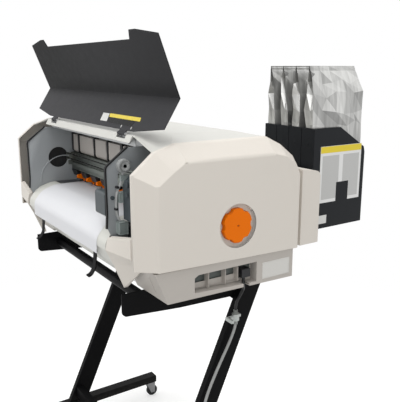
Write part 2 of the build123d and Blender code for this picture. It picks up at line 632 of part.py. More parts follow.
def printheads():
    """Two printheads standing in the carriage floor, each with its manifold."""
    heads = []
    for offset_x in HEAD_PLACES:
        x = CARRIAGE_PARK + offset_x
        head = block((x - HEAD_HALF + FIT, -216 + FIT, HEAD_FLOOR), (x + HEAD_HALF - FIT, -150 - FIT, 1040))
        head += block((x - HEAD_HALF + 3, -205, 1040), (x + HEAD_HALF - 3, -162, 1062))
        head += block((x - HEAD_HALF - 2, -220, CARRIAGE_FLOOR + 4),
                      (x + HEAD_HALF + 2, -146, CARRIAGE_FLOOR + 7))
        heads.append(head.solid())
    return heads


def pulley_y(x, z, radius, y_front, width):
    """Flanged belt pulley turning about Y."""
    wheel = rod_y(y_front, y_front + width, x, z, radius)
    wheel += rod_y(y_front - 1.2, y_front - 0.2 + 0.2, x, z, radius + 1.5)
    wheel += rod_y(y_front + width, y_front + width + 1.2, x, z, radius + 1.5)
    return wheel


def drive_pulley(side):
    """Toothed pulley of the carriage belt at one end of the beam, with its spindle."""
    x = side * DRIVE_PULLEY_X
    wheel = pulley_y(x, DRIVE_BELT_Z, DRIVE_PULLEY, DRIVE_BELT_Y - 0.5, DRIVE_BELT_WIDTH + 1)
    return (wheel + rod_y(DRIVE_BELT_Y, BEAM_FRONT + 12, x, DRIVE_BELT_Z, SPINDLE)).solid()


def belt_loop(near, near_radius, far, far_radius, width):
    """A closed flat belt round two pulleys, drawn in its own plane."""
    def loop(extra):
        return make_hull((Pos(*near) * Circle(near_radius + extra)).edges()
                         + (Pos(*far) * Circle(far_radius + extra)).edges())
    return extrude(loop(BELT_THICK + BELT_SEAT), amount=width) - extrude(loop(BELT_SEAT), amount=width)


def timing_belt():
    """Carriage belt round its two pulleys."""
    belt = belt_loop((-DRIVE_PULLEY_X, DRIVE_BELT_Z), DRIVE_PULLEY, (DRIVE_PULLEY_X, DRIVE_BELT_Z),
                     DRIVE_PULLEY,
                     DRIVE_BELT_WIDTH)
    return (Plane(origin=(0, DRIVE_BELT_Y + DRIVE_BELT_WIDTH, 0), x_dir=(1, 0, 0),
                  z_dir=(0, -1, 0)) * belt).solid()


def feed_belt():
    """Toothed belt from the knob shaft to the feed roller."""
    start = PULLEY_X + (PULLEY_WIDTH - BELT_WIDTH) / 2
    belt = belt_loop((KNOB_Y, KNOB_Z), MOTOR_PULLEY, (FEED_Y, FEED_Z), FEED_PULLEY, BELT_WIDTH)
    return (Plane.YZ.offset(start) * belt).solid()


def pulley_x(y, z, radius):
    """Flanged belt pulley turning about X."""
    wheel = rod_x(PULLEY_X, PULLEY_X + PULLEY_WIDTH, y, z, radius)
    wheel += rod_x(PULLEY_X - PULLEY_FLANGE / 2, PULLEY_X, y, z, radius + PULLEY_FLANGE)
    wheel += rod_x(PULLEY_X + PULLEY_WIDTH, PULLEY_X + PULLEY_WIDTH + PULLEY_FLANGE / 2, y, z,
                   radius + PULLEY_FLANGE)
    return wheel


def feed_roller():
    """Gritted feed shaft in its wall bushes, with its pulley."""
    shaft = rod_x(-INNER_WALL - 6, PULLEY_X, FEED_Y, FEED_Z, FEED_RADIUS)
    for i in range(-PINCH_COUNT // 2 + 1, PINCH_COUNT // 2 + 1):
        edge = i * PINCH_PITCH + PINCH_PITCH / 2
        shaft -= rod_x(edge - 18, edge + 18, FEED_Y, FEED_Z, FEED_RADIUS + 1) - rod_x(
            edge - 19, edge + 19, FEED_Y, FEED_Z, FEED_RADIUS - 0.6)
    return (shaft + pulley_x(FEED_Y, FEED_Z, FEED_PULLEY)).solid()


def knob_shaft():
    """Shaft through the feed motor, from its belt pulley out to the knob."""
    shaft = rod_x(PULLEY_X, BODY_HALF - KNOB_THICK * 0.4 - FIT, KNOB_Y, KNOB_Z, SHAFT_RADIUS - RUN)
    return (shaft + pulley_x(KNOB_Y, KNOB_Z, MOTOR_PULLEY)).solid()


def drive_motors():
    """Feed motor on its stand-off plate in the right bay, and carriage motor behind the beam's left end."""
    plate_x = PULLEY_X + PULLEY_WIDTH + 6
    feed = block((plate_x, KNOB_Y - 38, KNOB_Z - 38), (plate_x + 4, KNOB_Y + 38, KNOB_Z + 38))
    motor = block((plate_x + 4, KNOB_Y - 28, KNOB_Z - 28), (plate_x + 80, KNOB_Y + 28, KNOB_Z + 28))
    motor = chamfer(motor.edges().filter_by(Axis.X), 5)
    feed += motor
    for y in (-32, 32):
        for z in (-32, 32):
            feed += rod_x(INNER_WALL, plate_x, KNOB_Y + y, KNOB_Z + z, 4)
    feed -= rod_x(plate_x - 1, plate_x + 81, KNOB_Y, KNOB_Z, SHAFT_RADIUS)
    back = BEAM_FRONT + BEAM_DEEP
    x = -DRIVE_PULLEY_X
    carriage_motor = block((x - 12, back, DRIVE_BELT_Z - 21), (x + 30, back + 44, DRIVE_BELT_Z + 21))
    carriage_motor = chamfer(carriage_motor.edges().filter_by(Axis.Y), 4)
    return [feed.solid(), carriage_motor.solid()]


def platen():
    """Vacuum platen with its row of holes, and the rear guide that leads the media in."""
    front = block((-GUIDE_HALF, PLATEN_FRONT, PLATEN_TOP - PLATEN_DEEP),
                  (GUIDE_HALF, FEED_Y - FEED_RADIUS - FEED_SLOT, PLATEN_TOP))
    front -= block((-GUIDE_HALF - 1, PLATEN_FRONT + 3, PLATEN_TOP - PLATEN_DEEP + 3),
                   (GUIDE_HALF + 1, FEED_Y - FEED_RADIUS - FEED_SLOT - 3, PLATEN_TOP - 3))
    holes = [Pos(x, PLATEN_FRONT + 20, 0) for x in range(-350, 351, 28)]
    for place in holes:
        front -= place * Pos(0, 0, PLATEN_TOP - 2) * Cylinder(1.5, 8)
    points = [PATH[0], PATH[1], (FEED_Y + FEED_RADIUS + FEED_SLOT, PLATEN_TOP)]
    rear = across(bent_strip(points, [PATH_ROUND[0]], GUIDE_SHEET, (100, 500)), -GUIDE_HALF, GUIDE_HALF)
    rear += block((-GUIDE_HALF, 62, PLATEN_TOP - PLATEN_DEEP), (GUIDE_HALF, 66, PLATEN_TOP - 1))
    return [front.solid(), rear.solid()]


def front_guide():
    """Curved front guide over which the printed media leaves."""
    points = [(PLATEN_FRONT, PLATEN_TOP)] + PATH[2:] + [(PATH[-1][0], PATH[-1][1] - GUIDE_FRONT_LENGTH)]
    rounds = PATH_ROUND[1:] + [GUIDE_FRONT_LENGTH * 1.6]
    sheet = across(bent_strip(points, rounds, GUIDE_SHEET, (0, 500)), -GUIDE_HALF, GUIDE_HALF)
    return sheet.solid()


def media_sheet():
    """Loaded white media from the rear slot over the platen and down over the front guide."""
    points = PATH + [(PATH[-1][0], PATH[-1][1] - GUIDE_FRONT_LENGTH)]
    rounds = PATH_ROUND + [GUIDE_FRONT_LENGTH * 1.6]
    hanging = block((-MEDIA_HALF, PATH[-1][0] - MEDIA_THICK, MEDIA_CUT),
                    (MEDIA_HALF, PATH[-1][0], PATH[-1][1] - GUIDE_FRONT_LENGTH))
    sheet = across(bent_strip(points, rounds, MEDIA_THICK, (-100, 2500)), -MEDIA_HALF, MEDIA_HALF)
    return (sheet + hanging).solid()


def front_apron():
    """Sheet apron from the front guide back down to the tray."""
    return across(bent_strip(APRON_LINE, [60], SHEET, (0, 900)), -INNER_WALL + INNER_SHEET + FIT,
                  INNER_WALL - INNER_SHEET - FIT).solid()


def pinch_places():
    """X positions of the pinch levers."""
    return [PINCH_PITCH * (i - (PINCH_COUNT - 1) / 2) for i in range(PINCH_COUNT)]


def pinch_axis_z():
    """Height of the pinch rollers' axis over the media."""
    return PLATEN_TOP + MEDIA_THICK + FIT / 2 + PINCH_RADIUS


def pinch_levers():
    """Lifting shaft with the pinch levers, each with its finger tip in front of the beam."""
    z = pinch_axis_z()
    shaft = rod_x(-INNER_WALL - 4, INNER_WALL + 4, PIVOT_Y, PIVOT_Z, PIVOT_RADIUS)
    pieces = [shaft]
    for x in pinch_places():
        arm = outline([(PIVOT_Y + 8, PIVOT_Z - 7), (PIVOT_Y + 8, PIVOT_Z + 7), (PIVOT_Y - 8, PIVOT_Z + 9),
                       (LEVER_TIP_Y + 14, PIVOT_Z + 2), (LEVER_TIP_Y, PIVOT_Z), (LEVER_TIP_Y - 2,
                                                                                 PIVOT_Z - 12),
                       (LEVER_TIP_Y + 12, PIVOT_Z - 16), (FEED_Y - 8, z + 6), (FEED_Y - 4, z - 4),
                       (FEED_Y + 4, z - 4), (FEED_Y + 8, z + 5)], 2, (0, 1, 3, 4, 5))
        lever = across(arm, x - LEVER_WIDTH / 2, x + LEVER_WIDTH / 2)
        lever -= rod_x(x - LEVER_WIDTH, x + LEVER_WIDTH, PIVOT_Y, PIVOT_Z, PIVOT_RADIUS)
        lever -= rod_x(x - LEVER_WIDTH, x + LEVER_WIDTH, FEED_Y, z, 1.5 + RUN)
        pieces.append(lever.solid())
    return pieces


def pinch_rollers():
    """Rubber pinch rollers in pairs, one each side of every lever, on a thin axle."""
    z = pinch_axis_z()
    rollers = []
    for x in pinch_places():
        pair = rod_x(x - PINCH_LENGTH / 2, x + PINCH_LENGTH / 2, FEED_Y, z, 1.5)
        for side in (-1, 1):
            pair += rod_x(x + side * (LEVER_WIDTH / 2 + 1), x + side * PINCH_LENGTH / 2, FEED_Y, z,
                          PINCH_RADIUS)
        rollers.append(pair.solid())
    return rollers


def release_lever():
    """Dark moulded lever at the right end of the bay that lifts the pinch levers."""
    y, z = RELEASE_AXIS
    grip = outline([(y - 17, z - 62), (y - 17, z + 14), (y + 17, z + 14), (y + 17, z - 44), (y + 4, z - 62)],
                   9, (0, 1, 2, 3, 4))
    lever = across(grip, RELEASE_X - 45, RELEASE_X + 26)
    lever -= block((RELEASE_X - 39, y - 12, z - 30), (RELEASE_X - 20, y + 20, z - 4))
    return (lever + rod_x(RELEASE_X + 26, INNER_WALL + 6, y, z, RELEASE_PIN)).solid()


def cap_station():
    """Capping and wiping station on posts in the right bay."""
    x = CARRIAGE_PARK
    body = block((x - 52, -236, 930), (x + 52, -134, 984))
    body -= block((x - 36 - FIT, -218 - FIT, 946), (x + 36 + FIT, -148 + FIT, 985))
    for y in (-176.0, -150.0):
        body += block((x - 48, y, 786), (x - 36, y + 10, 930)) + block((x + 36, y, 786),
                                                                       (x + 48, y + 10, 930))
    wiper = block((x - 50, -214, 984), (x - 48, -152, 993.5))
    pump = rod_y(-262, -236, x + 22, 952, 18)
    return (body + wiper + pump).solid()


def head_cap():
    """Rubber-lipped cap that rises against the printheads."""
    x = CARRIAGE_PARK
    cap = block((x - 36, -218, 950), (x + 36, -148, CAP_TOP))
    for offset_x in HEAD_PLACES:
        cap -= block((x + offset_x - 13, -211, CAP_TOP - 6), (x + offset_x + 13, -155, CAP_TOP + 1))
    return cap.solid()


def main_board():
    """Control board on stand-offs inside the rear housing."""
    board = block((-300, REAR_FRONT + WALL + 12, 900), (-60, REAR_FRONT + WALL + 14, 1060))
    for x in (-290, -70):
        for z in (910, 1050):
            board += rod_y(REAR_FRONT + WALL, REAR_FRONT + WALL + 12, x, z, 3)
    for i in range(4):
        board += block((-280 + 52 * i, REAR_FRONT + WALL + 14, 930 + 12 * i),
                       (-250 + 52 * i, REAR_FRONT + WALL + 24, 960 + 12 * i))
    return board.solid()


def power_supply():
    """Switching power supply in its perforated case, screwed to the rear housing's front wall."""
    case = block((60, REAR_FRONT + WALL, 900), (275, REAR_FRONT + WALL + 50, 1010))
    for i in range(9):
        case -= block((80 + 20 * i, REAR_FRONT + WALL + 46, 920), (86 + 20 * i, REAR_FRONT + WALL + 51, 990))
    return case.solid()


def power_inlet():
    """Mains inlet in the rear housing's back wall."""
    x, z = -470, 900
    body = block((x + FIT, REAR_BACK - 24, z + FIT), (x + 48 - FIT, REAR_BACK + 1.5, z + 28 - FIT))
    body -= block((x + 12, REAR_BACK - 14, z + 5), (x + 36, REAR_BACK + 2, z + 22))
    for pin_x in (18, 24, 30):
        body += block((x + pin_x - 1, REAR_BACK - 16, z + 10), (x + pin_x + 1, REAR_BACK - 4, z + 16))
    return body.solid()


def power_switch():
    """Rocker of the mains switch, turning on its middle pin."""
    x, z = -400, 903
    rocker = outline([(REAR_BACK - 8, z + 2), (REAR_BACK + 1, z + 1.2), (REAR_BACK + 0.2, z + 6.5),
                      (REAR_BACK + 3.2, z + 11.8), (REAR_BACK - 6, z + 11)])
    return across(rocker, x + 0.4, x + 19.6).solid()


def rack_holder(i):
    """One bay of the ink rack: an open-topped sheet box cut back at its rear shoulder."""
    x_out = RACK_OUT - RACK_PITCH * i
    x_in = x_out - RACK_PITCH + 2.0
    shape = outline([(RACK_FRONT, RACK_FLOOR), (RACK_FRONT, RACK_TOP), (RACK_TOP_BACK, RACK_TOP),
                     RACK_SHOULDER,
                     (RACK_BACK, RACK_SHOULDER[1] - 20), (RACK_BACK, RACK_FLOOR)])
    well = outline([(RACK_FRONT + RACK_WALL, RACK_FLOOR + RACK_WALL),
                    (RACK_FRONT + RACK_WALL, RACK_TOP + 50),
                    (RACK_BACK - RACK_WALL, RACK_TOP + 50), (RACK_BACK - RACK_WALL, RACK_FLOOR + RACK_WALL)])
    box = across(shape, x_in, x_out) - across(well, x_in + RACK_WALL, x_out - RACK_WALL)
    middle = (x_in + x_out) / 2
    box -= block((middle - 9, RACK_FRONT - 1, RACK_FLOOR + 14),
                 (middle + 9, RACK_FRONT + RACK_WALL + 1, RACK_FLOOR + 46))
    box += block((middle - 4, RACK_FRONT - 1.5, RACK_TOP - 60), (middle + 4, RACK_FRONT, RACK_TOP - 52))
    return box.solid()


def pouch(i):
    """One foil ink pouch: full in its bay, flattening to a sealed top edge."""
    middle = RACK_OUT - RACK_PITCH * i - RACK_PITCH / 2 + 1.0
    levels = [(RACK_FLOOR + 30, 462, 676, 26), (960, 444, 688, 50), (1170, 442, 686, 54),
              (1300, 434, 684, 48),
              (1400, 430, 664, 24), (POUCH_TOP - 26, 428, 652, POUCH_SEAL), (POUCH_TOP, 427, 646, 2.0)]
    sections = []
    for z, front, back, thick in levels:
        sections.append(Pos(middle, (front + back) / 2, z) * Rectangle(thick, back - front))
    bag = loft(sections, ruled=True)
    spout = rod_z(RACK_FLOOR + 18, RACK_FLOOR + 32, middle, (RACK_FRONT + RACK_BACK) / 2, 9)
    return (bag + spout).solid()


def ink_fitting(i):
    """Metal ink outlet at the bottom front of one bay."""
    middle = RACK_OUT - RACK_PITCH * i - RACK_PITCH / 2 + 1.0
    z = RACK_FLOOR + 30
    fitting = rod_y(RACK_FRONT - 16, RACK_FRONT + 20, middle, z, 7) + block(
        (middle - 14, RACK_FRONT - 4, z - 20), (middle + 14, RACK_FRONT, z + 20))
    fitting += rod_y(RACK_FRONT - 16, RACK_FRONT - 12, middle, z, 9)
    return fitting.solid()


def rack_bracket():
    """Folded steel bracket between the rear housing and the rack."""
    low, high = RACK_OUT - RACK_PITCH * RACK_COUNT + 30, RACK_OUT - 30
    bracket = block((low, REAR_BACK, 960), (high, RACK_FRONT, 1070))
    bracket -= block((low + 3, REAR_BACK + 3, 963), (high - 3, RACK_FRONT - 3, 1071))
    return bracket.solid()


def leg_y(z):
    """Front edge of a leg at a height."""
    return LEG_FRONT_400 + LEG_LEAN * (z - 400)


def leg_frame():
    """Right side of the stand: side plate, leaning box leg and foot rail."""
    plate = outline([(-270, 765), (-270, 690), (-60, 672), (150, 664), (210, 614), (250, 614),
                     (268, TRAY_FLOOR),
                     (-180, TRAY_FLOOR), (-180, 765)], 18, (1,))
    side_plate = across(plate, PLATE_X - PLATE_THICK, PLATE_X)
    side_plate += block((PLATE_X - 40, -180, TRAY_FLOOR - 4), (PLATE_X, 268, TRAY_FLOOR))
    low, high = FOOT_TOP, LEG_TOP
    leg_out = outline([(leg_y(low), low), (leg_y(high), high), (leg_y(high) + LEG_DEPTH, high),
                       (leg_y(low) + LEG_DEPTH, low)])
    leg_in = outline([(leg_y(low) + LEG_WALL, low - 1), (leg_y(high) + LEG_WALL, high + 1),
                      (leg_y(high) + LEG_DEPTH - LEG_WALL, high + 1), (leg_y(low) + LEG_DEPTH - LEG_WALL,
                                                                       low - 1)])
    x_in, x_out = PLATE_X, PLATE_X + LEG_WIDTH
    leg = across(leg_out, x_in, x_out) - across(leg_in, x_in + LEG_WALL, x_out - LEG_WALL)
    middle = (x_in + x_out) / 2
    rail = block((middle - FOOT_WIDTH / 2, FOOT_FRONT, FOOT_FLOOR),
                 (middle + FOOT_WIDTH / 2, FOOT_BACK, FOOT_TOP))
    rail = fillet(rail.edges().filter_by(Axis.Y), 4)
    rail -= block((middle - FOOT_WIDTH / 2 + FOOT_WALL, FOOT_FRONT + CASTER_INSET * 2,
                   FOOT_FLOOR + FOOT_WALL),
                  (middle + FOOT_WIDTH / 2 - FOOT_WALL, FOOT_BACK - CASTER_INSET * 2, FOOT_TOP - FOOT_WALL))
    for y in (FOOT_FRONT + CASTER_INSET, FOOT_BACK - CASTER_INSET):
        rail -= rod_z(FOOT_FLOOR - 1, FOOT_TOP - 8, middle, y, STEM_RADIUS + RUN)
    return [side_plate.solid(), leg.solid(), rail.solid()]


def bottle_bracket():
    """Bent shelf on the outside of the right leg that the waste bottle stands on."""
    x, y, z = WASTE_AT
    low = z - BOTTLE_TALL - FIT
    leg_face = PLATE_X + LEG_WIDTH
    shelf = block((leg_face, y - 44, low - SHEET), (x + 38, y + 44, low))
    shelf += block((x + 36, y - 44, low - SHEET), (x + 38, y + 44, low + 14))
    shelf += block((leg_face, leg_y(low) + 8, low - SHEET),
                   (leg_face + SHEET, leg_y(low) + LEG_DEPTH - 12, low + 44))
    return shelf.solid()


def cross_tubes():
    """Round tube between the side plates, and a flat stretcher between the legs."""
    half = PLATE_X - PLATE_THICK
    tube = rod_x(-half, half, -170, 717, TUBE_RADIUS) - rod_x(-half - 1, half + 1, -170, 717,
                                                              TUBE_RADIUS - TUBE_WALL)
    low = FOOT_TOP + STRETCHER_RISE
    high = low + STRETCHER_TALL
    y = leg_y(high) + LEG_WALL
    y_end = y + STRETCHER_DEEP
    stretcher = block((-PLATE_X, y, low), (PLATE_X, y_end, high))
    stretcher -= block((-PLATE_X - 1, y + LEG_WALL, low + LEG_WALL),
                       (PLATE_X + 1, y_end - LEG_WALL, high - LEG_WALL))
    return [tube.solid(), stretcher.solid()]


def hook_arms():
    """Two flat steel hooks under the front guide that catch the cut media."""
    arms = []
    for x in (-252.0, 252.0):
        arms.append(across(bent_strip(HOOK_LINE, [20, 24, 24], HOOK_THICK, (-400, 800)), x - HOOK_WIDTH / 2,
                           x + HOOK_WIDTH / 2).solid())
    return arms


def caster_places():
    """Swivel axes of the casters."""
    middle = PLATE_X + LEG_WIDTH / 2
    return [(side * middle, y) for side in (1, -1) for y in (FOOT_FRONT + CASTER_INSET,
                                                             FOOT_BACK - CASTER_INSET)]


def caster_fork(x, y):
    """Swivel fork with its stem in the foot rail and its axle."""
    top = FOOT_FLOOR - 6
    fork = rod_z(top, FOOT_TOP - 10, x, y, STEM_RADIUS) + rod_z(top, FOOT_FLOOR - 1.5, x, y, 16)
    half = WHEEL_WIDTH / 2 + 2
    wheel_y = y + WHEEL_TRAIL
    fork += block((x - half - 2.5, y - 18, top - 3), (x + half + 2.5, wheel_y + 12, top))
    for side in (-1, 1):
        near, far = x + side * half, x + side * (half + 2.5)
        cheek = outline([(y - 14, top), (wheel_y - 10, WHEEL_Z - 8), (wheel_y + 10, WHEEL_Z - 8),
                         (wheel_y + 12, top)])
        fork += across(cheek, min(near, far), max(near, far))
    return (fork + rod_x(x - half - 5, x + half + 5, wheel_y, WHEEL_Z, AXLE_RADIUS)).solid()


def caster_wheel(x, y):
    """Caster wheel with a rounded tread, on the fork's axle."""
    wheel = rod_x(x - WHEEL_WIDTH / 2, x + WHEEL_WIDTH / 2, y + WHEEL_TRAIL, WHEEL_Z, WHEEL_RADIUS)
    rims = [edge for edge in wheel.edges() if edge.geom_type == GeomType.CIRCLE]
    wheel = fillet(rims, 4)
    wheel -= rod_x(x - WHEEL_WIDTH, x + WHEEL_WIDTH, y + WHEEL_TRAIL, WHEEL_Z, AXLE_RADIUS + RUN)
    return wheel.solid()


def arc_radii(points):
    """The largest radius that each corner's two runs allow."""
    radii = []
    for before, corner, after in zip(points, points[1:], points[2:]):
        come = Vector(*corner) - Vector(*before)
        go = Vector(*after) - Vector(*corner)
        turn = radians(come.get_angle(go))
        radii.append(0.45 * min(come.length, go.length) / tan(turn / 2))
    return radii


def hose(points, radius, bore=0):
    """A bent hose along straight runs and tangent arcs."""
    radii = arc_radii(points)
    path = FilletPolyline(*points, radius=radii)
    start = Plane(origin=path @ 0, z_dir=path % 0)
    tube = sweep(start * Circle(radius), path=path)
    if bore:
        tube -= sweep(start * Circle(bore), path=path)
    return tube.solid()


def drain_hoses():
    """Black waste hose from the hand hold to the stopcock, and the clear hose from it to the bottle."""
    return [hose(BLACK_HOSE_PATH, HOSE_RADIUS), hose(CLEAR_HOSE_PATH, HOSE_RADIUS, HOSE_BORE)]


def drain_block():
    """Black outlet block at the rear end of the right hand hold."""
    x, y, z = DRAIN_AT
    wide, deep, tall = DRAIN_BLOCK
    back = BODY_HALF - BASE_STEP - HOLD_DEPTH
    return block((back, y - deep / 2, z), (back + wide, y + deep / 2, z + tall)).solid()


def stopcock():
    """Clear plastic stopcock between the two hoses, clamped to the leg."""
    x, y, z = COCK
    top, low = z + COCK_HALF, z - COCK_HALF
    body = rod_z(low, top, x, y, 8) + rod_z(z - 12, z + 12, x, y, 13)
    body += rod_y(y - 26, y, x, z, 7)
    body -= rod_y(y - 27, y + 12, x, z, 4 + RUN)
    clip = block((PLATE_X + LEG_WIDTH, y + 8, z - 5), (x, y + 24, z + 5)) + block((x - 4, y, z - 5),
                                                                                  (x, y + 24, z + 5))
    return (body + clip - rod_y(y - 27, y + 12, x, z, 4 + RUN)).solid()


def stopcock_lever():
    """Quarter-turn lever of the stopcock."""
    x, y, z = COCK
    lever = rod_y(y - 34, y - 4, x, z, 4) + block((x - 6, y - 40, z - 6), (x + 34, y - 32, z + 6))
    return fillet(lever.edges().filter_by(Axis.Y).group_by(Axis.X)[-1], 4).solid()


def waste_bottle():
    """Waste bottle hung on the leg, with a screw cap that the clear hose enters."""
    x, y, z = WASTE_AT
    body = block((x - 34, y - 50, z - BOTTLE_TALL), (x + 34, y + 50, z - 20))
    body = fillet(body.edges().filter_by(Axis.Z), 14)
    body = fillet(body.faces().sort_by(Axis.Z)[-1].edges(), 8)
    body += rod_z(z - 22, z - 4, x, y, 18)
    return body.solid()


def waste_cap():
    """Screw cap of the waste bottle."""
    x, y, z = WASTE_AT
    cap = rod_z(z - 4 + FIT, z + 10, x, y, 21) - rod_z(z - 5, z + 11, x, y, HOSE_RADIUS + FIT)
    return cap.solid()


def cover_screws():
    """Screw heads in the back of the rear housing."""
    screws = []
    for x in (-540, -180, 180, 540):
        for z in (880, 1090):
            head = rod_y(REAR_BACK, REAR_BACK + 2, x, z, 4) - block((x - 3, REAR_BACK + 1.2, z - 0.5),
                                                                    (x + 3, REAR_BACK + 3, z + 0.5))
            screws.append(head.solid())
    return screws


def as_list(made):
    """A piece or several pieces as one list."""
    return list(made) if isinstance(made, (list, tuple)) else [made]


def build_parts():
    """Every named node with its separate solids."""
    places = caster_places()
    parts = {
        "right_side_cover": side_cover(True),
        "left_side_cover": mirrored(side_cover(False)),
        "right_base_cover": base_cover(),
        "left_base_cover": mirrored(base_cover()),
        "front_covers": [front_cover(), mirrored(front_cover())],
        "top_cover": top_cover(),
        "hood": hood(),
        "hood_pivots": hood_pivots(),
        "rear_housing": rear_housing(),
        "front_apron": front_apron(),
        "inner_walls": [inner_wall(1), inner_wall(-1)],
        "hood_gaskets": [gasket(), mirrored(gasket())],
        "base_frame": base_frame(),
        "upper_panel": upper_panel(),
        "duct_panels": duct_panels(),
        "duct_straps": duct_straps(),
        "rail_beam": rail_beam(),
        "carriage": carriage(),
        "printheads": printheads(),
        "timing_belt": timing_belt(),
        "left_drive_pulley": drive_pulley(-1),
        "right_drive_pulley": drive_pulley(1),
        "drive_motors": drive_motors(),
        "feed_roller": feed_roller(),
        "feed_belt": feed_belt(),
        "knob_shaft": knob_shaft(),
        "side_knob": knob(),
        "platen": platen(),
        "front_guide": front_guide(),
        "media_sheet": media_sheet(),
        "pinch_levers": pinch_levers(),
        "pinch_rollers": pinch_rollers(),
        "release_lever": release_lever(),
        "cap_station": cap_station(),
        "head_cap": head_cap(),
        "main_board": main_board(),
        "power_supply": power_supply(),
        "power_inlet": power_inlet(),
        "power_switch": power_switch(),
        "cover_screws": cover_screws(),
        "ink_rack": [rack_holder(i) for i in range(RACK_COUNT)],
        "ink_pouches": [pouch(i) for i in range(RACK_COUNT)],
        "ink_fittings": [ink_fitting(i) for i in range(RACK_COUNT)],
        "rack_bracket": rack_bracket(),
        "right_leg_frame": leg_frame() + [bottle_bracket()],
        "left_leg_frame": [mirrored(piece) for piece in leg_frame()],
        "cross_tubes": cross_tubes(),
        "hook_arms": hook_arms(),
        "drain_line": [drain_block()] + drain_hoses(),
        "stopcock": stopcock(),
        "stopcock_lever": stopcock_lever(),
        "waste_bottle": [waste_bottle(), waste_cap()],
    }
    for number, (x, y) in enumerate(places, 1):
        parts["caster_fork_%d" % number] = caster_fork(x, y)
        parts["caster_wheel_%d" % number] = caster_wheel(x, y)
    return parts


def main():
    os.makedirs("parts", exist_ok=True)
    for name, made in build_parts().items():
        placed = [Pos(0, PLAN_SHIFT, -FLOOR) * solid for piece in as_list(made) for solid in piece.solids()]
        shape = placed[0] if len(placed) == 1 else Compound(children=placed)
        export_step(shape, "parts/%s.step" % name)
    print("parts written:", len(os.listdir("parts")))


if __name__ == "__main__":
    main()
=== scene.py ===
# Large format inkjet printer: its looks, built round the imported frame.
# Metres, +Z up, -Y the operator's side, +X the knob's end.
import json
import math
import random

import bmesh
import bpy
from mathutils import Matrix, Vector, noise


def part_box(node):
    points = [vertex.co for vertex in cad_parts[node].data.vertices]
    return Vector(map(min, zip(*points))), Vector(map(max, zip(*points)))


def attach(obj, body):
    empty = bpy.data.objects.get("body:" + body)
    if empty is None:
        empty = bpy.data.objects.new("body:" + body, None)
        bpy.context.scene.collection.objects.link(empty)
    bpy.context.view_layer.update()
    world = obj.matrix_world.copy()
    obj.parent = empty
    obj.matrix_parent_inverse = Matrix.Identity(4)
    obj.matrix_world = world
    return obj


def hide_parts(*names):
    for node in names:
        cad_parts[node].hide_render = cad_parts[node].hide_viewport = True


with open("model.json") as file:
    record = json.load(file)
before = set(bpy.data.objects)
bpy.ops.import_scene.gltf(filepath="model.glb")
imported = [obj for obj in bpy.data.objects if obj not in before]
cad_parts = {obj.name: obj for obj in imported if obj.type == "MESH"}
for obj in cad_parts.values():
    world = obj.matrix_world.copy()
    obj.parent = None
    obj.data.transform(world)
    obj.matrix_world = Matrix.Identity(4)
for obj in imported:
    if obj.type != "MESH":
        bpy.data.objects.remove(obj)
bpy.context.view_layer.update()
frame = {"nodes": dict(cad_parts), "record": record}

# Camera: standing eye height beyond the knob's end, a little in front of the machine.
CAMERA_PLACE = Vector((1.929, -1.178, 1.631))
CAMERA_AZIMUTH = math.radians(56.3)
CAMERA_ELEVATION = math.radians(13.0)
CAMERA_LENS = 51.4

eye = bpy.data.objects.new("camera", bpy.data.cameras.new("camera"))
bpy.context.scene.collection.objects.link(eye)
eye.data.lens = CAMERA_LENS
eye.location = CAMERA_PLACE
eye.rotation_euler = (math.pi / 2 - CAMERA_ELEVATION, 0, CAMERA_AZIMUTH)
bpy.context.scene.camera = eye


# Stand: two leaning rectangular steel legs with slotted feet and plates, joined by two round
# cross tubes. Welded and powder coated in black, bolted up under the machine's base.
class Value:
    """A shader socket that takes part in sums: each sum adds a Math node."""

    def __init__(self, finish, socket):
        self.finish = finish
        self.socket = socket

    def sum(self, operation, first, second):
        return self.finish.node("Math", {"operation": operation}, {0: first, 1: second})

    def __add__(self, other):
        return self.sum("ADD", self, other)

    def __radd__(self, other):
        return self.sum("ADD", other, self)

    def __sub__(self, other):
        return self.sum("SUBTRACT", self, other)

    def __rsub__(self, other):
        return self.sum("SUBTRACT", other, self)

    def __mul__(self, other):
        return self.sum("MULTIPLY", self, other)

    def __rmul__(self, other):
        return self.sum("MULTIPLY", other, self)

    def __gt__(self, other):
        return self.sum("GREATER_THAN", self, other)

    def __lt__(self, other):
        return self.sum("LESS_THAN", self, other)

    def __abs__(self):
        return self.sum("ABSOLUTE", self, 0.0)


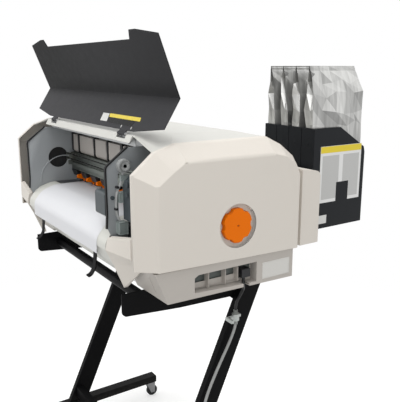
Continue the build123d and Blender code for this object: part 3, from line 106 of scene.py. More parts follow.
class Finish:
    """One material of the machine, built up in its shader nodes."""

    def __init__(self, name, **fixed):
        self.material = bpy.data.materials.new(name)
        self.material.use_nodes = True
        self.tree = self.material.node_tree
        self.shader = self.tree.nodes["Principled BSDF"]
        self.place = self.node("TexCoord", {}, {}, "Object")
        self.set(**fixed)

    def node(self, kind, settings, sockets, output=0):
        made = self.tree.nodes.new("ShaderNode" + kind)
        for name, setting in settings.items():
            setattr(made, name, setting)
        for name, value in sockets.items():
            self.feed(made.inputs[name], value)
        return Value(self, made.outputs[output])

    def feed(self, socket, value):
        if isinstance(value, Value):
            self.tree.links.new(value.socket, socket)
        elif socket.type == "RGBA" and len(value) == 3:
            socket.default_value = (*value, 1)
        else:
            socket.default_value = value

    def set(self, **sockets):
        for name, value in sockets.items():
            socket = name.replace("_", " ").title().replace("Ior", "IOR")
            self.feed(self.shader.inputs[socket], value)
        return self

    def mix(self, share, first, second):
        return self.node("Mix", {"data_type": "RGBA"}, {0: share, 6: first, 7: second}, 2)

    def grain(self, scale, detail=2.0, place=None):
        return self.node("TexNoise", {}, {"Vector": place or self.place, "Scale": scale, "Detail": detail})

    def axis(self, letter):
        return self.node("SeparateXYZ", {}, {0: self.place}, letter)

    def step(self, value, low, high):
        """Rises smoothly from 0 at low to 1 at high."""
        return self.node("MapRange", {"interpolation_type": "SMOOTHSTEP"}, {0: value, 1: low, 2: high})

    def bump(self, height, depth):
        return self.set(Normal=self.node("Bump", {}, {"Strength": 1.0, "Distance": depth, "Height": height}))


def scaled(colour, factor, lift=0.0):
    """A lighter or darker shade of a colour."""
    return [min(1.0, c * factor + lift) for c in colour]


PEEL = 420.0
PEEL_DEPTH = 0.00005
DUST = (0.12, 0.115, 0.105)


def coated(name, colour, rough=0.42, shine=0.5, dust_top=0.0):
    """Powder-coated steel: fine orange peel, uneven gloss, rubbed spots, and dust up to a height."""
    made = Finish(name, specular_ior_level=shine)
    cloud = made.grain(5.0, 4.0)
    rubbed = made.step(made.grain(38.0, 5.0), 0.66, 0.8) * 0.35
    shade = made.mix(cloud, scaled(colour, 0.9), scaled(colour, 1.2, 0.001))
    shade = made.mix(rubbed, shade, scaled(colour, 1.9, 0.012))
    if dust_top:
        settled = (1 - made.step(made.axis("Z"), 0.0, dust_top)) * made.grain(60.0, 4.0) * 0.5
        shade = made.mix(settled, shade, DUST)
    made.set(base_color=shade, roughness=rough - 0.07 + made.grain(25.0) * 0.14)
    return made.bump(made.grain(PEEL), PEEL_DEPTH)


def dress(finish, *nodes):
    """Gives frame nodes their finish."""
    for node in nodes:
        mesh = frame["nodes"][node].data
        mesh.materials.clear()
        mesh.materials.append(finish.material)


def in_slot(slot, *but):
    """The frame nodes that take a material slot's finish, but for those named."""
    parts = frame["record"]["subparts"]
    return [part["node"] for part in parts if part["material_slot"] == slot and part["node"] not in but]


def body_of(node):
    """The body that a frame node rides on."""
    bodies = frame["record"]["behaviour"]["bodies"]
    return next(body for body, members in bodies.items() if node in members)


def piece_from(form, name, finish, body, nodes=()):
    """A finished piece from a mesh in the making: named, coated, and riding on its body."""
    mesh = bpy.data.meshes.new(name)
    form.to_mesh(mesh)
    form.free()
    made = bpy.data.objects.new(name, mesh)
    bpy.context.scene.collection.objects.link(made)
    mesh.materials.append(finish.material)
    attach(made, body)
    if nodes:
        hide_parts(*nodes)
    return made


SMOOTH_UNDER = math.radians(50)


def smoothed(made, limit=SMOOTH_UNDER):
    """Shades a piece smooth but for its sharp edges, with flat faces kept flat by their area."""
    for face in made.data.polygons:
        face.use_smooth = True
    made.data.set_sharp_from_angle(angle=limit)
    even = made.modifiers.new("even_shading", "WEIGHTED_NORMAL")
    even.keep_sharp = True
    even.weight = 100
    return made


def rounded(form, edges, radius, segments=2):
    """Rounds edges of a mesh in the making."""
    bmesh.ops.bevel(form, geom=edges, offset=radius, offset_type="OFFSET", segments=segments, profile=0.5,
                    affect="EDGES", material=-1)


MERGE = 0.00001
FLAT = math.radians(0.5)
SHARP = math.radians(28)
BLUNT = math.radians(17)
BLUNTEST = math.radians(64)
BEND_SEGMENTS = 5
LONG_BEND = 16
LONG_EDGE = 4


def softened(node, finish, edge, segments=2, bend=0.0):
    """A copy of a frame node with its longer edges rounded, and its blunt bends more so."""
    form = bmesh.new()
    form.from_mesh(frame["nodes"][node].data)
    bmesh.ops.remove_doubles(form, verts=form.verts, dist=MERGE)
    bmesh.ops.dissolve_limit(form, angle_limit=FLAT, verts=form.verts, edges=form.edges)
    if bend:
        bends = [e for e in form.edges if e.is_manifold and BLUNT < e.calc_face_angle() < BLUNTEST
                 and e.calc_length() > bend * LONG_BEND]
        rounded(form, bends, bend, BEND_SEGMENTS)
    corners = [e for e in form.edges if e.is_manifold and e.calc_face_angle() > SHARP
               and e.calc_length() > edge * LONG_EDGE]
    rounded(form, corners, edge, segments)
    low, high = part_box(node)
    for v in form.verts:
        v.co = [min(max(place, least), most) for place, least, most in zip(v.co, low, high)]
    made = piece_from(form, node + "_finished", finish, body_of(node), [node])
    return smoothed(made)


STAND_COLOUR = (0.003, 0.003, 0.0034)
STAND_EDGE = 0.0012
STAND_DUST_TOP = 0.16
stand_black = coated("stand_black", STAND_COLOUR, rough=0.5, shine=0.07, dust_top=STAND_DUST_TOP)
for stand_node in ("right_leg_frame", "left_leg_frame"):
    softened(stand_node, stand_black, STAND_EDGE)
dress(stand_black, "cross_tubes")


# Casters: pressed forks on swivel stems with solid rubber wheels, one at each end of both feet.
# The forks are zinc-plated steel, and the tyres are moulded on with a worn tread.
def metal(name, colour, rough=0.35, lines=(1, 70, 70), spots=0.5):
    """Bare or plated metal: fine lines along one axis and a little dulled by handling."""
    made = Finish(name, metallic=1.0)
    along = made.node("Mapping", {}, {"Vector": made.place, "Scale": lines})
    drawn = made.grain(30.0, 3.0, along)
    dulled = made.step(made.grain(9.0, 5.0), 0.45, 0.75) * spots
    shade = made.mix(drawn, scaled(colour, 0.82), colour)
    shade = made.mix(dulled, shade, scaled(colour, 0.6))
    made.set(base_color=shade, roughness=rough - 0.06 + drawn * 0.12 + dulled * 0.2)
    return made.bump(drawn, 0.00002)


BLOOM = 0.4


def rubber(name, colour, rough=0.65):
    """Rubber: matt, faintly bloomed, with a scuffed surface."""
    made = Finish(name, specular_ior_level=0.3)
    bloom = made.step(made.grain(30.0, 5.0), 0.45, 0.75) * BLOOM
    made.set(base_color=made.mix(bloom, colour, scaled(colour, 1.5, 0.015)), roughness=rough + bloom * 0.2)
    return made.bump(made.grain(500.0, 3.0), 0.00006)


CASTER_EDGE = 0.0011
caster_metal = metal("caster_metal", (0.42, 0.42, 0.43), 0.38, (60, 60, 1))
caster_tyre = rubber("caster_tyre", (0.016, 0.016, 0.017))
for corner in range(1, 5):
    dress(caster_metal, f"caster_fork_{corner}")
    softened(f"caster_wheel_{corner}", caster_tyre, CASTER_EDGE)


# Base tray: folded and plated sheet steel that carries everything, on the stand's plates.
# The zinc shows its crystals and the bends are bare.
def plated(name, colour, rough=0.42):
    """Zinc-plated sheet: patches of crystal in slightly different greys."""
    made = Finish(name, metallic=1.0)
    crystals = made.node("TexVoronoi", {}, {"Vector": made.place, "Scale": 55.0}, "Color")
    patch = made.node("SeparateXYZ", {}, {0: crystals}, "X")
    shade = made.mix(patch, scaled(colour, 0.82), scaled(colour, 1.08))
    made.set(base_color=shade, roughness=rough - 0.08 + patch * 0.16)
    return made.bump(made.grain(80.0, 4.0), 0.00004)


frame_steel = plated("frame_steel", (0.40, 0.41, 0.41))
zinc = plated("zinc", (0.52, 0.53, 0.54), 0.38)
dress(frame_steel, *in_slot("frame_steel"))
dress(zinc, *in_slot("zinc"))


# Electronics: the main board stands in the rear housing with its chips and sockets on, beside the
# power supply in its pressed case. Epoxy board, green resist, bare solder pads.
TRACKS = 160.0
PADS = 210.0
board_green = Finish("board_green", coat_roughness=0.2)
tracks = board_green.node("TexVoronoi", {"feature": "DISTANCE_TO_EDGE"},
                          {"Vector": board_green.place, "Scale": TRACKS}, "Distance")
traced = 1 - board_green.step(tracks, 0.04, 0.1)
pads = board_green.node("TexVoronoi", {}, {"Vector": board_green.place, "Scale": PADS}, "Distance")
soldered = pads < 0.12
resist = board_green.mix(traced, (0.008, 0.075, 0.03), (0.02, 0.15, 0.06))
board_green.set(base_color=board_green.mix(soldered, resist, (0.62, 0.6, 0.52)), roughness=0.3 + traced * 0.1,
                metallic=soldered * 0.8, coat_weight=0.3)
board_green.bump(traced, 0.00006)
dress(board_green, "main_board")


# Moulded plastic, first used for the inlet and switch in the rear housing, and then for the levers,
# ducts and covers: an eroded mould grain, a slight cloudiness and an uneven gloss.
def moulded(name, colour, rough=0.45, grain=850.0, depth=0.00004, tint=0.04, shine=0.45, soil=0.0):
    made = Finish(name, specular_ior_level=shine)
    cloud = made.grain(2.4, 3.0)
    shade = made.mix(cloud, scaled(colour, 1 - tint), colour)
    if soil:
        touched = made.step(made.grain(7.0, 6.0), 0.52, 0.78) * soil
        shade = made.mix(touched, shade, scaled(colour, 0.78))
    made.set(base_color=shade, roughness=rough - 0.05 + made.grain(40.0) * 0.1)
    return made.bump(made.grain(grain, 1.0), depth)


SMALL_EDGE = 0.0008
black_plastic = moulded("black_plastic", (0.014, 0.014, 0.0155), 0.42, shine=0.35)
for node in ("power_inlet", "power_switch"):
    softened(node, black_plastic, SMALL_EDGE)
dress(black_plastic, *in_slot("black_plastic", "power_inlet", "power_switch"))


# Drives: a gritted feed shaft and the pinch rollers against it, and belts with their pulleys and motors.
# Steel parts are turned and polished, and the belts and small rollers are moulded rubber.
steel = metal("steel", (0.60, 0.60, 0.61), 0.24, (1, 80, 80))
belt_rubber = rubber("belt_rubber", (0.012, 0.012, 0.012), 0.6)
roller_rubber = rubber("roller_rubber", (0.026, 0.026, 0.028), 0.7)
dress(steel, *in_slot("steel"))
dress(belt_rubber, *in_slot("belt_rubber"))
dress(roller_rubber, *in_slot("roller_rubber"))


# Rail beam: an extruded aluminium box that carries the rail and the carriage, held in both side walls.
# Anodised a warm grey, with the die lines along its length.
beam_aluminium = metal("beam_aluminium", (0.235, 0.255, 0.235), 0.42, (1, 60, 60), 0.3)
dress(beam_aluminium, "rail_beam")


# Carriage: a moulded box with a sloped lid over the two print heads, parked in the right bay on the
# rail's bearings. Dark grey-green plastic, which the release lever beside it shares.
CARRIAGE_EDGE = 0.002
dark_plastic = moulded("dark_plastic", (0.05, 0.062, 0.068), 0.42, shine=0.35)
for node in ("carriage", "release_lever"):
    softened(node, dark_plastic, CARRIAGE_EDGE)


# Pinch levers: seven moulded arms on a lifting shaft under the beam, each with its finger tip in front
# of it, pressing small rollers on the media. Bright orange acetal, so that they are easily found.
LEVER_EDGE = 0.0014
ORANGE = (0.79, 0.16, 0.0)
orange_plastic = moulded("orange_plastic", ORANGE, 0.36, tint=0.08, shine=0.1, soil=0.2)
softened("pinch_levers", orange_plastic, LEVER_EDGE)


# Lever guards: black ribs under the beam, one on each side of every pinch lever, that keep hands and
# loose media off the rollers. Moulded, and clipped to the beam's underside.
def block_between(low, high):
    """A plain block from its two far corners."""
    form = bmesh.new()
    bmesh.ops.create_cube(form, size=1.0)
    bmesh.ops.scale(form, verts=form.verts, vec=high - low)
    bmesh.ops.translate(form, verts=form.verts, vec=(low + high) / 2)
    return form


GUARD_SIZE = Vector((0.054, 0.024, 0.026))
GUARD_CUT = 0.0108
GUARD_EDGE = 0.003
GUARD_FRONT = -0.303
LEVER_PITCH = 0.096
LEVER_COUNT = 7
beam_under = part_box("rail_beam")[0].z
for i in range(LEVER_COUNT + 1):
    guard = block_between(-GUARD_SIZE / 2, GUARD_SIZE / 2)
    front = [v for v in guard.verts if v.co.y < 0 and v.co.z < 0]
    bmesh.ops.translate(guard, verts=front, vec=(0, GUARD_CUT, 0))
    rounded(guard, guard.edges[:], GUARD_EDGE, 3)
    guard_place = (LEVER_PITCH * (i - LEVER_COUNT / 2), GUARD_FRONT + GUARD_SIZE.y / 2,
                   beam_under - GUARD_SIZE.z / 2)
    bmesh.ops.translate(guard, verts=guard.verts, vec=guard_place)
    smoothed(piece_from(guard, f"lever_guard_{i + 1}", black_plastic, "chassis"))


# Platen and front guide: a dark coated suction plate with fine holes, and the pale moulded nose
# that the media turns down over. Both are screwed to the base tray's channels.
HOLE_PITCH = 0.012
HOLE_SHARE = 0.16
PLATEN_COLOUR = (0.042, 0.046, 0.05)
HOLE_COLOUR = (0.004, 0.004, 0.004)
platen_grey = coated("platen_grey", PLATEN_COLOUR, 0.4)
pitch = platen_grey.node("Mapping", {}, {"Vector": platen_grey.place, "Scale": [1 / HOLE_PITCH] * 3})
cell = platen_grey.node("TexVoronoi", {"voronoi_dimensions": "2D"},
                        {"Vector": pitch, "Scale": 1.0, "Randomness": 0.0}, "Distance")
platen_grey.set(base_color=platen_grey.mix(cell < HOLE_SHARE, PLATEN_COLOUR, HOLE_COLOUR))
dress(platen_grey, "platen")

GUIDE_EDGE = 0.0012
guide_white = moulded("guide_white", (0.60, 0.60, 0.555), 0.42, tint=0.03, soil=0.25)
softened("front_guide", guide_white, GUIDE_EDGE)
softened("front_apron", guide_white, GUIDE_EDGE)


# Media: coated white paper from the rear slot, flat on the platen, then down over the nose to its cut
# edge. A thin free sheet that lies on what is under it, a little wavy where nothing holds it.
def cut(form, place, normal, clear_outer=False):
    """Cuts a mesh in the making along a plane, and can take off what lies beyond it."""
    bmesh.ops.bisect_plane(form, geom=form.verts[:] + form.edges[:] + form.faces[:], dist=MERGE,
                           plane_co=place, plane_no=normal, clear_outer=clear_outer)


def thickened(made, thickness):
    """Gives an open sheet its thickness, behind its face."""
    wall = made.modifiers.new("thickness", "SOLIDIFY")
    wall.thickness = thickness
    wall.offset = -1


MEDIA_THICK = 0.0003
MEDIA_STEP = 0.0305
MEDIA_WAVE = 0.0016
MEDIA_WAVES = 7
MEDIA_FREE = 0.09
MEDIA_FLAT = math.radians(0.3)
UPPER_SIDE = Vector((0, -1, 1))
media_white = Finish("media_white", specular_ior_level=0.4)
mottle = media_white.grain(16.0, 4.0)
media_white.set(base_color=media_white.mix(mottle, (0.64, 0.645, 0.67), (0.67, 0.675, 0.69)),
                roughness=0.48 + mottle * 0.1)
media_white.bump(media_white.grain(1400.0, 3.0), 0.00002)

low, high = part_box("media_sheet")
media = bmesh.new()
media.from_mesh(frame["nodes"]["media_sheet"].data)
bmesh.ops.remove_doubles(media, verts=media.verts, dist=MERGE)
under = [face for face in media.faces if face.normal.dot(UPPER_SIDE) < 0.3]
bmesh.ops.delete(media, geom=under, context="FACES")
bmesh.ops.dissolve_limit(media, angle_limit=MEDIA_FLAT, verts=media.verts, edges=media.edges)
for axis in (0, 1):
    normal = Vector((1 - axis, axis, 0))
    for i in range(1, math.ceil((high[axis] - low[axis]) / MEDIA_STEP)):
        cut(media, low + normal * MEDIA_STEP * i, normal)
for v in media.verts:
    loose = max(0.0, 1 - (v.co.z - low.z) / MEDIA_FREE) ** 2
    v.co.y -= loose * MEDIA_WAVE * (1 + noise.noise(Vector((v.co.x * MEDIA_WAVES, 0, 0))))
paper = piece_from(media, "media_sheet_finished", media_white, body_of("media_sheet"),
                   ["media_sheet"])
thickened(paper, MEDIA_THICK)
smoothed(paper)


# Bay walls: bent steel sheets painted blue-grey, each side of the media, with rubber strips on their
# front edges. A rubber sleeve lines the hole through the left one.
def raised_from(extruded):
    """The vertices that an extrusion has made."""
    return [item for item in extruded["geom"] if isinstance(item, bmesh.types.BMVert)]


WALL_SOFT = 0.0007
WALL_COLOUR = (0.27, 0.285, 0.295)
wall_grey = coated("wall_grey", WALL_COLOUR, 0.48, shine=0.4)
gasket_rubber = rubber("gasket_rubber", (0.0085, 0.0085, 0.009), 0.6)
softened("inner_walls", wall_grey, WALL_SOFT)
softened("hood_gaskets", gasket_rubber, WALL_SOFT)
dress(gasket_rubber, "head_cap")

TO_X = Vector((0, 0, 1)).rotation_difference(Vector((1, 0, 0))).to_matrix()
SLEEVE_PLACE = Vector((-0.3715, -0.353, 1.272))
SLEEVE_RADIUS = 0.0435
SLEEVE_DEPTH = 0.0065
SLEEVE_RIM = 0.004
SLEEVE_THICK = 0.001
SLEEVE_BACK = -0.316
sleeve = bmesh.new()
bmesh.ops.create_circle(sleeve, cap_ends=True, segments=64, radius=SLEEVE_RADIUS)
bmesh.ops.rotate(sleeve, verts=sleeve.verts, matrix=TO_X)
rim = bmesh.ops.inset_region(sleeve, faces=sleeve.faces[:], thickness=SLEEVE_RIM)
well = [face for face in sleeve.faces if face not in rim["faces"]]
sunk = bmesh.ops.extrude_face_region(sleeve, geom=well)
bmesh.ops.delete(sleeve, geom=well, context="FACES_ONLY")
bmesh.ops.translate(sleeve, verts=raised_from(sunk), vec=(-SLEEVE_DEPTH, 0, 0))
bmesh.ops.translate(sleeve, verts=sleeve.verts, vec=SLEEVE_PLACE)
cut(sleeve, (0, SLEEVE_BACK, 0), (0, 1, 0), clear_outer=True)
bush = piece_from(sleeve, "wall_sleeve", gasket_rubber, "chassis")
thickened(bush, SLEEVE_THICK)
smoothed(bush)


# Duct row: warm grey moulded panels under the top cover, with bent black straps over their joints.
# They lead air from the fans down on the drying ink.
PANEL_EDGE = 0.0022
STRAP_EDGE = 0.0015
duct_grey = moulded("duct_grey", (0.40, 0.372, 0.345), 0.5, tint=0.06, soil=0.3)
softened("duct_panels", duct_grey, PANEL_EDGE)
softened("duct_straps", black_plastic, STRAP_EDGE)


# Capping station: a black tray on posts in the right bay, whose rubber cap seals the parked heads.
# It stands on the base tray, moulded in the same black as the straps.
softened("cap_station", black_plastic, SMALL_EDGE)


# Bay fittings: on the right wall's outer face a ribbed filler cap, three clear blocks and two ink
# tubes in black clips, beside the parked carriage. Natural mouldings, screwed to the sheet.
WALL_FACE = 0.373
CAP_PLACE = Vector((WALL_FACE, -0.423, 1.346))
CAP_RADIUS = 0.021
CAP_NARROWS = 0.93
CAP_TALL = 0.018
CAP_RIBS = 24
RIB_EDGE = 0.0003
RIB_OUT = 0.0009
# How far each ring of the crown is drawn in, and then raised or sunk.
CAP_RINGS = [(0.003, 0.0), (0.002, -0.005), (0.006, 0.003)]
fitting_white = moulded("fitting_white", (0.42, 0.43, 0.425), 0.3, tint=0.1, soil=0.5)
fitting_clear = moulded("fitting_clear", (0.30, 0.345, 0.335), 0.22, tint=0.12, soil=0.3)
filler = bmesh.new()
bmesh.ops.create_cone(filler, cap_ends=True, segments=CAP_RIBS * 2, radius1=CAP_RADIUS,
                      radius2=CAP_RADIUS * CAP_NARROWS, depth=CAP_TALL)
ribbed = [face for face in filler.faces if abs(face.normal.z) < 0.5][::2]
bmesh.ops.inset_individual(filler, faces=ribbed, thickness=RIB_EDGE, depth=RIB_OUT)
crown = [face for face in filler.faces if face.normal.z > 0.9]
for drawn_in, lift in CAP_RINGS:
    bmesh.ops.inset_region(filler, faces=crown, thickness=drawn_in, depth=lift)
bmesh.ops.rotate(filler, verts=filler.verts, matrix=TO_X)
bmesh.ops.translate(filler, verts=filler.verts, vec=CAP_PLACE + Vector((CAP_TALL / 2, 0, 0)))
smoothed(piece_from(filler, "bay_filler_cap", fitting_white, "chassis"))

BLOCKS = [
    ("bay_sensor_block", (0.0005, -0.451, 1.138), (0.031, -0.423, 1.176)),
    ("bay_valve_block", (0.0005, -0.4455, 1.236), (0.024, -0.424, 1.268)),
    ("bay_tube_bracket", (0.0005, -0.434, 1.300), (0.014, -0.404, 1.318)),
]
BLOCK_RIM = 0.003
BLOCK_SUNK = -0.002
BLOCK_EDGE = 0.0006
wall_base = Vector((WALL_FACE, 0, 0))
for block_name, block_low, block_high in BLOCKS:
    block = block_between(wall_base + Vector(block_low), wall_base + Vector(block_high))
    lid = [face for face in block.faces if face.normal.y < -0.9 or face.normal.x > 0.9]
    bmesh.ops.inset_individual(block, faces=lid, thickness=BLOCK_RIM, depth=BLOCK_SUNK)
    rounded(block, [e for e in block.edges if e.calc_face_angle() > SHARP], BLOCK_EDGE)
    smoothed(piece_from(block, block_name, fitting_clear, "chassis"))


def tube_line(name, route, radius, steps, sides):
    """A round line that runs smoothly from the first place of its route to the last."""
    line = bpy.data.curves.new(name, "CURVE")
    line.dimensions = "3D"
    run = line.splines.new("NURBS")
    run.points.add(len(route) - 1)
    for point, place in zip(run.points, route):
        point.co = (*place, 1)
    run.order_u = 3
    run.use_endpoint_u = True
    run.resolution_u = steps
    line.bevel_depth = radius
    line.bevel_resolution = sides
    line.use_fill_caps = True
    return bpy.data.objects.new(name, line)


TUBE_RADIUS = 0.0025
TUBE_APART = 0.0062
TUBE_ROUTE = [(-0.423, 1.334), (-0.4262, 1.30), (-0.4475, 1.27), (-0.4515, 1.22), (-0.447, 1.19),
              (-0.438, 1.172)]
for i in range(2):
    tube_x = WALL_FACE + TUBE_RADIUS + TUBE_APART * i
    places = [(tube_x, y, z) for y, z in TUBE_ROUTE]
    drawn = tube_line(f"bay_tube_line_{i + 1}", places, TUBE_RADIUS, steps=12, sides=4)
    tube = bmesh.new()
    tube.from_mesh(drawn.to_mesh())
    drawn.to_mesh_clear()
    bpy.data.objects.remove(drawn)
    smoothed(piece_from(tube, f"bay_tube_{i + 1}", fitting_white, "chassis"))
TUBE_CLIPS = [(-0.4453, 1.282), (-0.4505, 1.215)]
TUBE_CLIP_SIZE = Vector((0.0135, 0.009, 0.007))
TUBE_CLIP_OUT = 0.0068
TUBE_CLIP_EDGE = 0.0015
for i, (y, z) in enumerate(TUBE_CLIPS):
    middle = Vector((WALL_FACE + TUBE_CLIP_OUT, y, z))
    clip = block_between(middle - TUBE_CLIP_SIZE / 2, middle + TUBE_CLIP_SIZE / 2)
    rounded(clip, clip.edges[:], TUBE_CLIP_EDGE)
    smoothed(piece_from(clip, f"bay_tube_clip_{i + 1}", black_plastic, "chassis"))


# Side covers: the two tall ends and the bands under them, with the front covers and the rear housing.
# Moulded in warm white, the housing held by screws in its back, and a little soiled by daily use.
COVER_COLOUR = (0.64, 0.60, 0.545)
# Painted shade: the lower bands take the covers' warm white painted darker, for the shade under the side
# covers.
BAND_PAINTED_SHADE_COLOUR = (0.45, 0.42, 0.385)
COVER_EDGE = 0.0022
COVER_BEND = 0.007
BAND_EDGE = 0.0012
HOUSING_EDGE = 0.0009
cover_white = moulded("cover_white", COVER_COLOUR, 0.5, tint=0.02, shine=0.4, soil=0.12)
band_white_painted_shade = moulded("band_white_painted_shade", BAND_PAINTED_SHADE_COLOUR, 0.5, tint=0.03, shine=0.4, soil=0.2)
for side in ("right", "left"):
    softened(side + "_side_cover", cover_white, COVER_EDGE, 3, COVER_BEND)
    softened(side + "_base_cover", band_white_painted_shade, BAND_EDGE)
softened("front_covers", cover_white, BAND_EDGE)
softened("rear_housing", cover_white, HOUSING_EDGE)


# Hand hold: a dark grey-green liner closes the pocket in each lower band, behind its ribs. Beside the
# right one a blank plate is stuck on the band, where a rating plate would go.
def plate_on(corners, origin, right, up, out, thick, edge):
    """A flat plate with rounded edges from its corners, measured right and up from an origin."""
    form = bmesh.new()
    form.faces.new([form.verts.new(origin + right * x + up * y) for x, y in corners])
    raised = bmesh.ops.extrude_face_region(form, geom=form.faces[:])
    bmesh.ops.translate(form, verts=raised_from(raised), vec=out * thick)
    bmesh.ops.recalc_face_normals(form, faces=form.faces)
    rounded(form, form.edges[:], edge)
    return form


def side_plate(corners, x, thick, edge, side=1):
    """A plate on an end of the machine, its corners measured along Y and Z."""
    return plate_on(corners, Vector((x, 0, 0)), Vector((0, 1, 0)), Vector((0, 0, 1)), Vector((side, 0, 0)),
                    thick, edge)


LINER = [(-0.287, 0.975), (-0.057, 0.970), (-0.057, 1.023), (-0.276, 1.023), (-0.287, 1.017)]
LINER_FACE = 0.538
LINER_THICK = 0.0006
LINER_EDGE = 0.0001
liner_grey = moulded("liner_grey", (0.085, 0.098, 0.092), 0.4, tint=0.2, soil=0.4)
for side, name in ((1, "right"), (-1, "left")):
    liner = side_plate(LINER, side * LINER_FACE, LINER_THICK, LINER_EDGE, side)
    smoothed(piece_from(liner, f"{name}_hold_liner", liner_grey, "chassis"))

BAND_FACE = 0.572
BLANK = [(-0.030, 0.962), (0.086, 0.962), (0.086, 1.018), (-0.030, 1.018)]
BLANK_THICK = 0.0009
BLANK_FRAME = 0.003
BLANK_STEP = 0.0004
PLATE_EDGE = 0.0002
plate_white = moulded("plate_white", (0.60, 0.59, 0.56), 0.34, grain=400.0, tint=0.03)
blank = side_plate(BLANK, BAND_FACE, BLANK_THICK, PLATE_EDGE)
faces = [face for face in blank.faces if face.normal.x > 0.9]
bmesh.ops.inset_region(blank, faces=faces, thickness=BLANK_FRAME, depth=0.0)
bmesh.ops.inset_region(blank, faces=faces, thickness=BLANK_STEP, depth=-BLANK_STEP)
smoothed(piece_from(blank, "blank_plate", plate_white, "chassis"))


# Knob: the media feed knob, six shallow lobes round a plain face with a pin mark at its middle,
# pressed on the shaft's end in the right cover's well. Same orange acetal as the pinch levers.
KNOB_EDGE = 0.0024
PIN_RADIUS = 0.0022
PIN_NARROWS = 0.8
PIN_DEEP = 0.0006
DIMPLE_DEEP = 0.003
softened("side_knob", orange_plastic, KNOB_EDGE, 3)
low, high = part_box("side_knob")
pin = bmesh.new()
bmesh.ops.create_cone(pin, cap_ends=True, segments=24, radius1=PIN_RADIUS, radius2=PIN_RADIUS * PIN_NARROWS,
                      depth=PIN_DEEP)
bmesh.ops.rotate(pin, verts=pin.verts, matrix=TO_X)
pin_place = (high.x - DIMPLE_DEEP + PIN_DEEP / 2, (low.y + high.y) / 2, (low.z + high.z) / 2)
bmesh.ops.translate(pin, verts=pin.verts, vec=pin_place)
piece_from(pin, "knob_pin_mark", black_plastic, body_of("side_knob"))


# Top cover: one long moulding with a sharp front lip, a shallow crown and tapered ends over the side
# covers, in a cooler white than theirs. It is screwed to a folded panel of plated steel.
TOP_EDGE = 0.0016
top_white = moulded("top_white", (0.56, 0.555, 0.52), 0.46, tint=0.02, shine=0.42, soil=0.1)
softened("top_cover", top_white, TOP_EDGE)
softened("upper_panel", frame_steel, WALL_SOFT)


# Hood: a bent sheet of textured charcoal plastic on two hinges along the top cover's lip, shown open
# against its stop. Painted shade: paler below the bend, darker above it to the left end and at the bend.
HOOD_COLOUR = (0.024, 0.024, 0.026)
HOOD_PAINTED_DARK = (0.0008, 0.001, 0.0014)
HOOD_BEND_Z = 1.548
HOOD_BEND_TOP = HOOD_BEND_Z + 0.012
HOOD_PAINTED_DARK_X = -0.55
HOOD_PAINTED_PALE_X = 0.25
HOOD_EDGE = 0.0011
hood_black = moulded("hood_black", HOOD_COLOUR, 0.5, grain=650.0, depth=0.00005, shine=0.08)
# Painted light and shade: paler below the bend, darker towards the left end and along the bend above it.
painted_pale_below = 1 - hood_black.step(hood_black.axis("Z"), HOOD_BEND_Z - 0.03, HOOD_BEND_TOP)
along = hood_black.step(hood_black.axis("X"), HOOD_PAINTED_DARK_X, HOOD_PAINTED_PALE_X)
painted_bend_shade = 1 - hood_black.step(abs(hood_black.axis("Z") - HOOD_BEND_TOP), 0.004, 0.05)
hood_painted_shade = hood_black.mix(along * (1 - painted_bend_shade * 0.45), HOOD_PAINTED_DARK, HOOD_COLOUR)
hood_black.set(base_color=hood_black.mix(painted_pale_below, hood_painted_shade, scaled(HOOD_COLOUR, 1.5)))
softened("hood", hood_black, HOOD_EDGE)


# Hood strip: a colour-coded adhesive strip by the right hinge, white, yellow and black, with two
# small clips under it. Printed film, and left without words.
HINGE_LINE = Vector((0, -0.384, 1.434))
HOOD_TILT = math.radians(57.7)
HOOD_UP = Vector((0, math.cos(HOOD_TILT), math.sin(HOOD_TILT)))
HOOD_OUT = Vector((0, -math.sin(HOOD_TILT), math.cos(HOOD_TILT)))
HOOD_SHEET = 0.003
FILM = 0.0005
FILM_EDGE = 0.0001
film_white = moulded("film_white", (0.62, 0.62, 0.6), 0.3, grain=300.0)
film_yellow = moulded("film_yellow", (0.72, 0.56, 0.02), 0.3, grain=300.0)
film_black = moulded("film_black", (0.002, 0.002, 0.002), 0.28, grain=300.0, shine=0.1)


def hood_plate(name, finish, corners, thick, edge):
    """A plate on the hood's outer face, its corners measured along the hinge and up the sheet."""
    plate = plate_on(corners, HINGE_LINE + HOOD_OUT * HOOD_SHEET, Vector((1, 0, 0)), HOOD_UP, HOOD_OUT,
                     thick, edge)
    smoothed(piece_from(plate, name, finish, "hood"))


STRIPS = [
    ("hood_strip_white", film_white, [(0.108, 0.029), (0.160, 0.029), (0.152, 0.058), (0.104, 0.058)]),
    ("hood_strip_yellow", film_yellow, [(0.162, 0.046), (0.378, 0.046), (0.374, 0.059), (0.156, 0.059)]),
    ("hood_strip_black", film_black, [(0.163, 0.026), (0.338, 0.026), (0.352, 0.045), (0.160, 0.045)]),
]
for name, finish, corners in STRIPS:
    hood_plate(name, finish, corners, FILM, FILM_EDGE)
CLIP_WIDE = 0.0035
CLIP_LOW = 0.016
CLIP_HIGH = 0.025
CLIP_THICK = 0.0015
CLIP_EDGE = 0.0004
for i, x in enumerate((0.277, 0.346)):
    corners = [(x, CLIP_LOW), (x + CLIP_WIDE, CLIP_LOW), (x + CLIP_WIDE, CLIP_HIGH), (x, CLIP_HIGH)]
    hood_plate(f"hood_clip_{i + 1}", film_white, corners, CLIP_THICK, CLIP_EDGE)


# Ink rack: four folded steel holders side by side behind the machine, hung on a bracket from the rear
# housing. Powder coated black, with a card plate and a small pale tag on the outer side.
RACK_EDGE = 0.0011
rack_black = coated("rack_black", (0.0075, 0.0088, 0.0108), 0.46, shine=0.16)
softened("ink_rack", rack_black, RACK_EDGE)
dress(rack_black, "rack_bracket")
fitting_metal = metal("fitting_metal", (0.5, 0.5, 0.48), 0.35, (70, 1, 70))
dress(fitting_metal, "ink_fittings")

